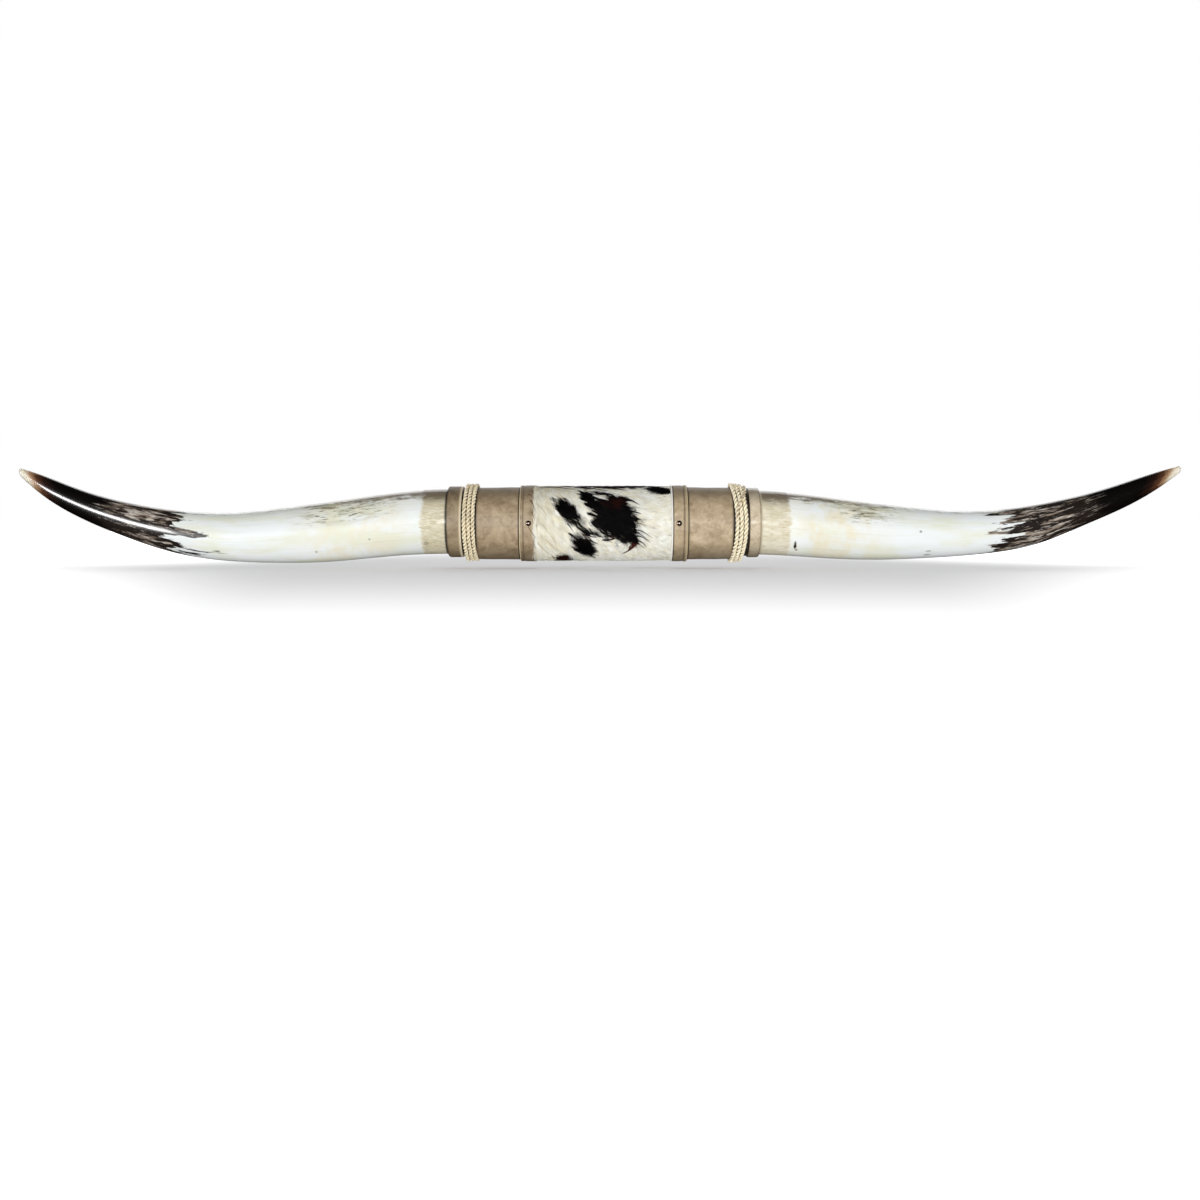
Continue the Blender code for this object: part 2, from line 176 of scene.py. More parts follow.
class Bench:
    """The work bench: small steps that every piece is made with."""

    @staticmethod
    def clear() -> None:
        """Leaves nothing selected."""
        if bpy.context.object and bpy.context.object.mode != "OBJECT":
            bpy.ops.object.mode_set(mode="OBJECT")
        bpy.ops.object.select_all(action="DESELECT")

    @staticmethod
    def take(piece: Piece) -> None:
        """Selects one piece and makes it active.

        Args:
            piece: The piece to work on.
        """
        Bench.clear()
        piece.select_set(True)
        bpy.context.view_layer.objects.active = piece

    @staticmethod
    def settle(piece: Piece) -> None:
        """Moves a piece's place, turn and scale into its mesh."""
        Bench.take(piece)
        bpy.ops.object.transform_apply(location=True, rotation=True, scale=True)

    @staticmethod
    def apply(piece: Piece, kind: str, **values: object) -> None:
        """Adds a modifier and applies it at once.

        Args:
            piece: The piece that it shapes.
            kind: The modifier's type.
            values: Its settings.
        """
        Bench.take(piece)
        modifier = piece.modifiers.new(kind.lower(), kind)
        for name, value in values.items():
            setattr(modifier, name, value)
        bpy.ops.object.modifier_apply(modifier=modifier.name)

    @staticmethod
    def soften(piece: Piece, levels: int) -> None:
        """Rounds a piece with an applied subdivision surface."""
        Bench.apply(piece, "SUBSURF", levels=levels, render_levels=levels)

    @staticmethod
    def ripple(piece: Piece, size: float, height: float) -> None:
        """Gives a surface the small unevenness of work done by hand.

        Args:
            piece: The piece to ripple.
            size: How wide its swells are.
            height: How far they move the surface in all.
        """
        swell = bpy.data.textures.new(f"{piece.name}_swell", "CLOUDS")
        swell.noise_scale = size
        swell.noise_depth = 1
        Bench.apply(piece, "DISPLACE", texture=swell, strength=height, mid_level=0.5, texture_coords="LOCAL")

    @staticmethod
    def smooth(piece: Piece, degrees: float = 40.0) -> None:
        """Shades a piece smooth, with edges sharper than the angle kept crisp."""
        Bench.take(piece)
        bpy.ops.object.shade_smooth_by_angle(angle=math.radians(degrees))

    @staticmethod
    def point_out(piece: Piece) -> None:
        """Turns every face of a closed piece outwards.

        Args:
            piece: The piece whose faces are turned.
        """
        Bench.take(piece)
        bpy.ops.object.mode_set(mode="EDIT")
        bpy.ops.mesh.select_all(action="SELECT")
        bpy.ops.mesh.normals_make_consistent(inside=False)
        bpy.ops.object.mode_set(mode="OBJECT")

    @staticmethod
    def grow(name: str, rings: Sequence[Ring], sides: int, ends: RingEnds) -> Piece:
        """Grows a form from a circle, ring after ring, by extruding and resizing its open edge.

        Args:
            name: The piece's name.
            rings: The rings, in order.
            sides: How many sides a ring has.
            ends: How the form is closed.

        Returns:
            The new piece, its place in its mesh.
        """
        Bench.clear()
        first = rings[0]
        bpy.ops.mesh.primitive_circle_add(
            vertices=sides, radius=first.height, fill_type="NOTHING",
            location=first.centre, rotation=(0.0, math.pi / 2, 0.0),
        )
        piece = bpy.context.object
        piece.name = piece.data.name = name
        Bench.settle(piece)
        bpy.ops.object.mode_set(mode="EDIT")
        bpy.ops.mesh.select_all(action="SELECT")
        bpy.ops.transform.resize(value=(1.0, first.depth / first.height, 1.0), center_override=first.centre)
        for before, ring in zip(rings, rings[1:]):
            bpy.ops.mesh.extrude_edges_move(TRANSFORM_OT_translate={"value": ring.centre - before.centre})
            growth = (1.0, ring.depth / before.depth, ring.height / before.height)
            bpy.ops.transform.resize(value=growth, center_override=ring.centre)
        bpy.ops.object.mode_set(mode="OBJECT")
        for corner in piece.data.vertices:
            corner.co.y = min(corner.co.y, rings[corner.index // sides].flat)
        bpy.ops.object.mode_set(mode="EDIT")
        if ends is RingEnds.TUBE:
            Bench.select_open_edges()
            bpy.ops.mesh.bridge_edge_loops()
        else:
            Bench.select_open_edges(x=rings[-1].x)
            bpy.ops.mesh.edge_face_add()
            Bench.select_open_edges(x=first.x)
            if ends is RingEnds.TIP:
                bpy.ops.mesh.merge(type="CENTER")
            else:
                bpy.ops.mesh.edge_face_add()
        bpy.ops.object.mode_set(mode="OBJECT")
        Bench.point_out(piece)
        return piece

    @staticmethod
    def select_open_edges(x: float | None = None) -> None:
        """Selects the open edges of the mesh in edit mode.

        Args:
            x: If given, only those at this place along X.
        """
        bpy.ops.mesh.select_mode(type="EDGE")
        bpy.ops.mesh.select_all(action="DESELECT")
        mesh = bmesh.from_edit_mesh(bpy.context.object.data)
        for edge in mesh.edges:
            near = x is None or all(abs(corner.co.x - x) < 1e-6 for corner in edge.verts)
            edge.select_set(edge.is_boundary and near)
        bmesh.update_edit_mesh(bpy.context.object.data)

    @staticmethod
    def from_arrays(name: str, points: np.ndarray, faces: Sequence[Sequence[int]]) -> Piece:
        """Makes one joined piece from many small ones.

        Args:
            name: The piece's name.
            points: The corners, one row each.
            faces: The corners of each face.

        Returns:
            The new piece.
        """
        mesh = bpy.data.meshes.new(name)
        mesh.from_pydata(points.tolist(), [], faces)
        mesh.update()
        piece = bpy.data.objects.new(name, mesh)
        bpy.context.scene.collection.objects.link(piece)
        mesh.shade_smooth()
        return piece

    @staticmethod
    def note(piece: Piece, name: str, kind: str, values: np.ndarray) -> None:
        """Stores a value at each corner of a piece for its finish to read.

        Args:
            piece: The piece.
            name: What the finish calls the value.
            kind: FLOAT, FLOAT_VECTOR or FLOAT_COLOR.
            values: One row for each corner.
        """
        key = {"FLOAT": "value", "FLOAT_VECTOR": "vector", "FLOAT_COLOR": "color"}[kind]
        layer = piece.data.attributes.new(name, kind, "POINT")
        layer.data.foreach_set(key, np.asarray(values, dtype=np.float32).ravel())

    @staticmethod
    def corners(piece: Piece) -> np.ndarray:
        """Reads the corners of a piece.

        Args:
            piece: The piece.

        Returns:
            One row for each corner.
        """
        flat = np.empty(len(piece.data.vertices) * 3, dtype=np.float32)
        piece.data.vertices.foreach_get("co", flat)
        return flat.reshape(-1, 3).astype(float)

    @staticmethod
    def hand_over(piece: Piece, paint: Paint, slot: str, *nodes: str) -> None:
        """Dresses a finished piece and lets it ride on the frame.

        Args:
            piece: The piece.
            paint: Its finish.
            slot: The record's material slot; not used.
            nodes: The frame's nodes that it stands for.
        """
        piece.data.materials.clear()
        piece.data.materials.append(paint)
        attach(piece, "root")
        if nodes:
            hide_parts(*nodes)
        LOG.info("%s: %d faces", piece.name, len(piece.data.polygons))


class Recipe:
    """A material's node tree, built line by line."""

    def __init__(self, name: str) -> None:
        """Starts a material with a bare shader.

        Args:
            name: The material's name.
        """
        self.material = bpy.data.materials.new(name)
        self.material.use_nodes = True
        self.tree = self.material.node_tree
        self.shader = self.tree.nodes["Principled BSDF"]

    def node(self, kind: str, **values: object) -> bpy.types.Node:
        """Adds a node.

        Args:
            kind: The node's type, without its ShaderNode prefix.
            values: Its settings.

        Returns:
            The node.
        """
        made = self.tree.nodes.new(f"ShaderNode{kind}")
        for name, value in values.items():
            setattr(made, name, value)
        return made

    def feed(self, socket: Socket, source: object) -> None:
        """Gives a socket a link or a plain value.

        Args:
            socket: The socket to feed.
            source: Another socket, a number or a colour.
        """
        if isinstance(source, Socket):
            self.tree.links.new(source, socket)
        elif isinstance(source, tuple) and socket.type == "RGBA":
            socket.default_value = (*source[:3], 1.0)
        else:
            socket.default_value = source

    def place(self) -> Socket:
        """The piece's own coordinates."""
        return self.node("TexCoord").outputs["Object"]

    def noted(self, name: str, output: str = "Vector") -> Socket:
        """What was noted at the piece's corners, as Vector, Color or Fac."""
        return self.node("Attribute", attribute_name=name).outputs[output]

    def parts(self, source: Socket) -> Sequence[Socket]:
        """The three values of a place, each on its own."""
        return self.made("SeparateXYZ", Vector=source).outputs

    def made(self, kind: str, settings: dict[str, object] | None = None, **inputs: object) -> bpy.types.Node:
        """Adds a node and feeds its sockets.

        Args:
            kind: The node's type, without its ShaderNode prefix.
            settings: The node's settings.
            inputs: What goes into its sockets by name, with a line for each space.

        Returns:
            The node.
        """
        node = self.node(kind, **(settings or {}))
        for name, source in inputs.items():
            self.feed(node.inputs[name.replace("_", " ")], source)
        return node

    def noise(
        self, source: Socket, scale: Point, shift: Point = ORIGIN, detail: float = 3.0, rough: float = 0.55,
        warp: float = 0.0,
    ) -> Socket:
        """Cloudy noise around 0.5.

        Args:
            source: The coordinates.
            scale: Their scale along each axis.
            shift: Where the noise starts.
            detail: How many finer layers it has.
            rough: How strong they are.
            warp: How far it is bent.

        Returns:
            The noise.
        """
        place = self.made("Mapping", Vector=source, Scale=scale, Location=shift).outputs["Vector"]
        return self.made(
            "TexNoise", Vector=place, Scale=1.0, Detail=detail, Roughness=rough, Distortion=warp
        ).outputs["Fac"]

    def maths(self, action: str, first: object, second: object = 0.0) -> Socket:
        """One sum.

        Args:
            action: The math node's operation.
            first: Its first value.
            second: Its second value.

        Returns:
            The result.
        """
        node = self.node("Math", operation=action)
        for socket, source in zip(node.inputs, (first, second)):
            self.feed(socket, source)
        return node.outputs[0]

    def times(self, first: object, second: object) -> Socket:
        """The product of two values."""
        return self.maths("MULTIPLY", first, second)

    def plus(self, first: object, second: object) -> Socket:
        """The sum of two values."""
        return self.maths("ADD", first, second)

    def minus(self, first: object, second: object) -> Socket:
        """The first value less the second."""
        return self.maths("SUBTRACT", first, second)

    def swing(self, noise: Socket, size: float) -> Socket:
        """Noise as a swing to both sides of nothing, with its size."""
        return self.times(self.minus(noise, 0.5), size)

    def rise(self, value: object, low: float, high: float) -> Socket:
        """A smooth step, which falls if low is over high.

        Args:
            value: What is stepped.
            low: Where the result is 0.
            high: Where it is 1.

        Returns:
            The share, 0 to 1.
        """
        start, end, first, last = (low, high, 0.0, 1.0) if low < high else (high, low, 1.0, 0.0)
        step = self.made(
            "MapRange", {"interpolation_type": "SMOOTHSTEP"},
            Value=value, From_Min=start, From_Max=end, To_Min=first, To_Max=last,
        )
        return step.outputs["Result"]

    def window(self, value: object, start: float, end: float, soft: float) -> Socket:
        """1 from start to end, where each end fades over the soft length."""
        up = self.rise(value, start - soft, start + soft)
        return self.times(up, self.rise(value, end + soft, end - soft))

    def blend(self, share: object, under: object, over: object, action: str = "MIX") -> Socket:
        """Lays one colour over another.

        Args:
            share: How much of it shows.
            under: The colour below.
            over: The colour above.
            action: How they mix.

        Returns:
            The mixed colour.
        """
        mix = self.node("Mix", data_type="RGBA", blend_type=action)
        for place, source in ((0, share), (6, under), (7, over)):
            self.feed(mix.inputs[place], source)
        return mix.outputs[2]

    def tint(self, under: object, over: object, share: Socket, strength: float) -> Socket:
        """Lays one colour over another at a share of its full strength."""
        return self.blend(self.times(share, strength), under, over)

    def ramp(self, value: object, stops: Sequence[tuple[float, Colour]]) -> Socket:
        """A run of colours.

        Args:
            value: Where on the run, 0 to 1.
            stops: The places and their colours.

        Returns:
            The colour.
        """
        made = self.made("ValToRGB", Fac=value)
        elements = made.color_ramp.elements
        while len(elements) < len(stops):
            elements.new(0.5)
        for element, (place, colour) in zip(elements, stops):
            element.position = place
            element.color = (*colour, 1.0)
        return made.outputs["Color"]

    def bump(self, height: object, strength: float, distance: float, under: Socket | None = None) -> Socket:
        """Small relief."""
        below = {} if under is None else {"Normal": under}
        made = self.made("Bump", Height=height, Strength=strength, Distance=distance, **below)
        return made.outputs["Normal"]

    def done(self, **sockets: object) -> Paint:
        """Feeds the shader and hands the material over.

        Args:
            sockets: The shader's sockets by name, with a line for each space.

        Returns:
            The material.
        """
        for name, source in sockets.items():
            self.feed(self.shader.inputs[name.replace("_", " ")], source)
        return self.material


@dataclass(frozen=True)
class Mark:
    """A small stain on a horn's front: its place from the tip and in height, its half sizes, its strength."""

    reach: float
    height: float
    long: float
    tall: float
    strength: float = 0.8


class HornSkin(Recipe):
    """A horn's material, which reads the note grain: distance from the tip, front share and top share."""

    def __init__(self, name: str, seed: float) -> None:
        """Starts the material and reads the grain.

        Args:
            name: The material's name.
            seed: Where its noise starts.
        """
        super().__init__(name)
        self.grain = self.noted("grain")
        self.reach, self.front, self.top = self.parts(self.grain)
        self.shift = (seed, seed * 0.7, seed * 1.3)
        self.fingers = self.streaks(13.0, 2.9, 6.0, 0.64, 0.25)

    def streaks(
        self, along: float, around: float, detail: float = 3.0, rough: float = 0.55, warp: float = 0.0
    ) -> Socket:
        """Noise with its scale along the horn and around it."""
        return self.noise(self.grain, (along, around, around), self.shift, detail, rough, warp)


@dataclass(frozen=True)
class HornFinish:
    """Polished horn: pale tip, black end, streaks, white body and fibrous base."""

    name: str
    seed: float
    black_end: float
    mottle_end: float
    streak_length: float
    cream_from: float
    cream_to: float
    cream_strength: float
    speck_from: float
    speck_to: float
    base_from: float
    base_to: float
    highlight_from: float
    marks: tuple[Mark, ...]
    # The colour of a thin ring just before the collar: a painted shadow where it is dark, as by default.
    rim: Colour = srgb(34, 25, 18)
    gloom: float = 0.0
    fringe: float = 0.05
    low_reach: float = 0.0
    cloudy: float = 0.5
    pale_top: float = 0.0
    tip_length: float = 0.066
    cool: Colour = srgb(230, 234, 234)
    warm: Colour = srgb(223, 226, 209)
    bright: Colour = srgb(244, 247, 245)
    lined: Colour = srgb(198, 196, 178)
    cream: Colour = srgb(226, 218, 190)
    tan: Colour = srgb(206, 196, 168)
    tan_dark: Colour = srgb(186, 173, 142)
    tan_light: Colour = srgb(226, 220, 200)
    tan_cloud: Colour = srgb(236, 232, 216)
    tan_top: Colour = srgb(104, 89, 70)
    black: Colour = srgb(13, 10, 9)
    taupe: Colour = srgb(128, 112, 98)
    ash: Colour = srgb(196, 188, 178)
    soot: Colour = srgb(36, 29, 25)
    ridge: Colour = srgb(122, 108, 90)
    ridge_dark: Colour = srgb(92, 80, 62)
    olive: Colour = srgb(112, 104, 78)
    smudge: Colour = srgb(150, 144, 110)
    stained: Colour = srgb(38, 29, 20)
    tip: tuple[tuple[float, Colour], ...] = (
        (0.00, srgb(244, 240, 228)), (0.24, srgb(230, 220, 198)), (0.36, srgb(168, 132, 100)),
        (0.50, srgb(84, 52, 34)), (0.66, srgb(40, 23, 16)), (0.88, srgb(13, 10, 9)),
    )

    def make(self) -> Paint:
        """Builds the material.

        Returns:
            The finish.
        """
        skin = HornSkin(self.name, self.seed)
        fleck = skin.streaks(34.0, 4.0, 5.0, 0.62)
        base = self.base_ring(skin)
        colour = self.top_edge(skin, self.body(skin), fleck)
        colour = skin.blend(base, self.specks(skin, colour), self.straw(skin))
        # Painted shadow: a thin ring of the horn just before the collar takes the rim colour; on the right
        # horn that colour is pale.
        edge = skin.rise(skin.reach, self.base_to - 0.0032, self.base_to - 0.0008)
        colour = skin.tint(colour, self.rim, edge, 0.9)
        for mark in self.marks:
            colour = self.stain(skin, colour, fleck, mark)
        colour = self.pale_tip(skin, self.dark_end(skin, colour))
        relief = skin.bump(skin.times(base, skin.streaks(22.0, 20.0, 4.0)), 0.12, 0.0002)
        rough = skin.plus(skin.times(base, 0.25), 0.26)
        return skin.done(
            Base_Color=colour, Roughness=rough, Normal=relief, Coat_Weight=0.75, Coat_Roughness=0.06, IOR=1.5,
        )

    def body(self, skin: HornSkin) -> Socket:
        """The white body with its cool and creamy zones and a painted highlight band near the base.

        Args:
            skin: The material in the making.

        Returns:
            The colour.
        """
        clouds = skin.rise(skin.streaks(12.0, 1.4, 4.0), 0.44, 0.66)
        bands = skin.rise(skin.streaks(46.0, 1.6, 5.0, 0.6), 0.32, 0.68)
        creamy = skin.times(skin.window(skin.reach, self.cream_from, self.cream_to, 0.04), bands)
        colour = skin.tint(skin.blend(clouds, self.cool, self.warm), self.cream, creamy, self.cream_strength)
        # Painted highlight: a whiter band on the body near the base.
        base_highlight = skin.window(skin.reach, self.highlight_from, self.base_from + 0.01, 0.012)
        colour = skin.tint(colour, self.bright, base_highlight, 0.45)
        return skin.tint(colour, self.lined, skin.rise(skin.streaks(10.0, 26.0, 4.0), 0.52, 0.72), 0.30)

    def top_edge(self, skin: HornSkin, colour: Socket, fleck: Socket) -> Socket:
        """The brown-grey run along the top, which spreads towards the base.

        Args:
            skin: The material in the making.
            colour: The colour below.
            fleck: Noise of small flecks.

        Returns:
            The colour.
        """
        spread = skin.times(skin.rise(skin.reach, 0.28, 0.56), 0.22)
        ragged = skin.swing(skin.streaks(60.0, 9.0, 6.0, 0.68), 0.8)
        level = skin.plus(skin.plus(skin.top, spread), ragged)
        share = skin.times(skin.rise(level, 0.90, 1.08), skin.rise(skin.reach, 0.10, 0.25))
        tone = skin.blend(skin.rise(fleck, 0.45, 0.62), self.ridge, self.ridge_dark)
        return skin.tint(colour, tone, share, 0.85)

    def specks(self, skin: HornSkin, colour: Socket) -> Socket:
        """Olive smudges and specks on the upper side.

        Args:
            skin: The material in the making.
            colour: The colour below.

        Returns:
            The colour.
        """
        zone = skin.window(skin.reach, self.speck_from, self.speck_to, 0.035)
        upper = skin.times(skin.rise(skin.top, 0.05, 0.60), zone)
        for looks, spots, strength in (
            (self.smudge, skin.rise(skin.streaks(30.0, 8.0, 3.0), 0.46, 0.64), 0.6),
            (self.olive, skin.rise(skin.streaks(75.0, 16.0, 4.0, 0.62), 0.550, 0.61), 0.95),
        ):
            colour = skin.blend(skin.times(spots, skin.times(upper, strength)), colour, looks)
        return colour

    def base_ring(self, skin: HornSkin) -> Socket:
        """The share of the unpolished ring at the base, with its jagged border."""
        jagged = skin.plus(skin.reach, skin.swing(skin.streaks(19.0, 2.2, 9.0, 0.84), 0.034))
        return skin.rise(jagged, self.base_from - 0.0028, self.base_from + 0.0030)

    def straw(self, skin: HornSkin) -> Socket:
        """The fibrous tan of the ring at the base.

        Args:
            skin: The material in the making.

        Returns:
            The colour.
        """
        weave = skin.streaks(120.0, 34.0, 6.0, 0.68, 0.3)
        cloud = skin.rise(skin.streaks(50.0, 5.0, 5.0, 0.6), 0.44, 0.62)
        colour = skin.ramp(weave, ((0.30, self.tan_dark), (0.48, self.tan), (0.66, self.tan_light)))
        colour = skin.tint(colour, self.tan_cloud, cloud, self.cloudy)
        ragged = skin.plus(skin.top, skin.swing(weave, 0.7))
        return skin.tint(colour, self.tan_top, skin.rise(ragged, 0.50, 0.80), 0.9)

    def dark_end(self, skin: HornSkin, colour: Socket) -> Socket:
        """The mottled streaks and the black end.

        Args:
            skin: The material in the making.
            colour: The colour below.

        Returns:
            The colour.
        """
        ragged = skin.plus(skin.reach, skin.swing(skin.fingers, self.streak_length))
        ragged = skin.minus(ragged, skin.times(skin.rise(skin.top, 0.0, -0.7), self.low_reach))
        mottled = skin.rise(ragged, self.mottle_end + 0.003, self.mottle_end - 0.003)
        broad, fine = skin.streaks(27.0, 3.7, 7.0, 0.68, 0.5), skin.streaks(75.0, 12.0, 5.0, 0.62, 0.3)
        patch = skin.plus(skin.times(broad, 0.66), skin.times(fine, 0.34))
        paling = skin.times(skin.rise(skin.top, -0.10, 0.40), self.pale_top)
        ends = skin.times(skin.rise(ragged, self.mottle_end - 0.050, self.mottle_end - 0.012), self.fringe)
        patch = skin.plus(skin.minus(patch, paling), ends)
        deepening = skin.times(skin.rise(skin.reach, self.mottle_end, self.black_end), 0.06)
        depth = skin.rise(skin.plus(patch, deepening), 0.445 - self.gloom, 0.535 - self.gloom)
        spots = skin.rise(skin.streaks(40.0, 5.0, 5.0, 0.6), 0.44, 0.62)
        streaked = skin.blend(depth, skin.blend(spots, self.taupe, self.ash), self.soot)
        blackness = skin.plus(skin.reach, skin.swing(skin.fingers, 0.12))
        black = skin.rise(blackness, self.black_end + 0.016, self.black_end - 0.014)
        return skin.blend(black, skin.blend(mottled, colour, streaked), self.black)

    def pale_tip(self, skin: HornSkin, colour: Socket) -> Socket:
        """The pale tip, which glows through brown into the black.

        Args:
            skin: The material in the making.
            colour: The colour below.

        Returns:
            The colour.
        """
        upper = skin.times(skin.rise(skin.top, -0.35, 0.75), 0.008)
        glow = skin.plus(skin.plus(skin.reach, skin.swing(skin.fingers, 0.02)), upper)
        tip = skin.ramp(skin.maths("DIVIDE", glow, self.tip_length), self.tip)
        return skin.blend(skin.rise(glow, self.tip_length - 0.001, self.tip_length - 0.008), colour, tip)

    def stain(self, skin: HornSkin, colour: Socket, rag: Socket, mark: Mark) -> Socket:
        """Lays one small stain on the front.

        Args:
            skin: The material in the making.
            colour: The colour below.
            rag: Noise that makes the stain's edge ragged.
            mark: The stain.

        Returns:
            The colour with the stain.
        """
        along = skin.maths("DIVIDE", skin.minus(skin.reach, mark.reach), mark.long)
        across = skin.maths("DIVIDE", skin.minus(skin.top, mark.height), mark.tall)
        far = skin.plus(skin.times(along, along), skin.times(across, across))
        far = skin.plus(far, skin.swing(rag, 3.0))
        shows = skin.times(skin.rise(far, 1.0, 0.1), skin.rise(skin.front, 0.0, 0.1))
        return skin.tint(colour, self.stained, shows, mark.strength)


@dataclass(frozen=True)
class LeatherFinish:
    """Mottled taupe leather, pale along its raw edges, with painted shade towards its top and bottom, in
    folds, beside steps and in gaps.
    """

    name: str
    light: Colour = srgb(196, 177, 149)
    middle: Colour = srgb(174, 154, 124)
    dark: Colour = srgb(142, 122, 93)
    raw_edge: Colour = srgb(206, 190, 154)
    # The next three colours are painted shade: towards the top and bottom, in folds and beside steps, and in
    # gaps.
    shaded: Colour = srgb(88, 74, 55)
    painted_shade_colour: Colour = srgb(92, 75, 56)
    gap: Colour = srgb(24, 17, 12)
    polish: float = 0.12
    softness: float = 0.3
    tilt: float = 0.0

    def make(self) -> Paint:
        """Builds the material.

        Returns:
            The finish, which reads notes for the raw cut edges and for painted shade in folds, beside steps
            and in gaps.
        """
        recipe = Recipe(self.name)
        place = recipe.place()
        shift = (self.tilt, self.tilt * 2.0, self.tilt * 3.0)
        blotch = recipe.noise(place, (62.0, 62.0, 62.0), shift, 5.0, 0.62, 0.6)
        cloud = recipe.noise(place, (210.0, 210.0, 210.0), shift, 4.0, 0.6)
        scuff = recipe.noise(place, (240.0, 330.0, 330.0), shift, 6.0, 0.7, 0.8)
        high = recipe.maths("ABSOLUTE", recipe.parts(place)[2])
        colour = recipe.ramp(blotch, ((0.30, self.dark), (0.50, self.middle), (0.68, self.light)))
        # Painted shade: darker towards the top and bottom, in folds and beside steps, and near black in gaps;
        # the raw edges are the leather's own pale colour.
        for looks, share, strength in (
            (self.light, recipe.rise(cloud, 0.50, 0.66), 0.5),
            (self.dark, recipe.rise(scuff, 0.52, 0.68), 0.5),
            (self.shaded, recipe.rise(high, 0.020, 0.047), 0.62),
            (self.painted_shade_colour, recipe.noted("worn", "Fac"), 0.55),
            (self.raw_edge, recipe.noted("raw", "Fac"), 1.0),
            (self.gap, recipe.noted("deep", "Fac"), 0.94),
        ):
            colour = recipe.tint(colour, looks, share, strength)
        pore = recipe.noise(place, (1500.0, 1500.0, 1500.0), detail=2.0)
        crease = recipe.noise(place, (260.0, 420.0, 420.0), shift, 5.0, 0.7, 1.2)
        relief = recipe.bump(pore, 0.20, 0.0002, recipe.bump(crease, 0.35, 0.0007))
        return recipe.done(
            Base_Color=colour, Roughness=recipe.plus(recipe.times(blotch, 0.22), 0.42), Normal=relief,
            Coat_Weight=self.polish, Coat_Roughness=self.softness,
        )


@dataclass(frozen=True)
class RopeFinish:
    """Natural straw rope in pale and brown fibres, with painted shade that darkens it between its strands."""

    name: str
    crown: Colour
    body: Colour
    gap: Colour = srgb(92, 68, 40)

    def make(self) -> Paint:
        """Builds the material.

        Returns:
            The finish, which reads the note fibre, along the strand, and a note of painted shade between
            strands.
        """
        recipe = Recipe(self.name)
        strands = recipe.noise(recipe.noted("fibre"), (120.0, 5.0, 5.0), detail=4.0, rough=0.6)
        colour = recipe.ramp(strands, ((0.28, self.gap), (0.42, self.body), (0.60, self.crown)))
        # Painted shade between the strands.
        colour = recipe.tint(colour, self.gap, recipe.noted("strand_shade", "Fac"), 0.85)
        relief = recipe.bump(strands, 0.6, 0.0005)
        return recipe.done(
            Base_Color=colour, Roughness=0.8, Normal=relief, Sheen_Weight=0.15, Sheen_Roughness=0.5,
        )


@dataclass(frozen=True)
class HairFinish:
    """Cow hair, whose colour was chosen hair by hair."""

    name: str
    rough: float

    def make(self) -> Paint:
        """Builds the material.

        Returns:
            The finish, which reads the note coat.
        """
        recipe = Recipe(self.name)
        fine = recipe.noise(recipe.place(), (900.0, 900.0, 900.0), detail=2.0)
        shade = recipe.ramp(fine, ((0.3, (0.88, 0.87, 0.84)), (0.7, (1.0, 1.0, 1.0))))
        colour = recipe.blend(1.0, recipe.noted("coat", "Color"), shade, "MULTIPLY")
        return recipe.done(Base_Color=colour, Roughness=self.rough, Specular_IOR_Level=0.06)


@dataclass(frozen=True)
class MetalFinish:
    """Metal with a soft tarnish."""

    name: str
    bright: Colour
    dull: Colour
    rough: float
    scale: float = 900.0

    def make(self) -> Paint:
        """Builds the material.

        Returns:
            The finish.
        """
        recipe = Recipe(self.name)
        tarnish = recipe.noise(recipe.place(), (self.scale,) * 3, detail=4.0)
        colour = recipe.blend(recipe.rise(tarnish, 0.35, 0.65), self.bright, self.dull)
        rough = recipe.plus(recipe.times(tarnish, 0.2), self.rough)
        relief = recipe.bump(tarnish, 0.12, 0.0002)
        return recipe.done(Base_Color=colour, Roughness=rough, Metallic=1.0, Normal=relief)


@dataclass(frozen=True)
class WoodFinish:
    """Plain turned wood."""

    name: str
    pale: Colour = srgb(190, 150, 104)
    dark: Colour = srgb(140, 100, 62)

    def make(self) -> Paint:
        """Builds the material.

        Returns:
            The finish.
        """
        recipe = Recipe(self.name)
        year = recipe.noise(recipe.place(), (8.0, 160.0, 160.0), detail=5.0, rough=0.6, warp=0.4)
        colour = recipe.blend(recipe.rise(year, 0.38, 0.62), self.pale, self.dark)
        return recipe.done(Base_Color=colour, Roughness=0.7, Normal=recipe.bump(year, 0.3, 0.0004))


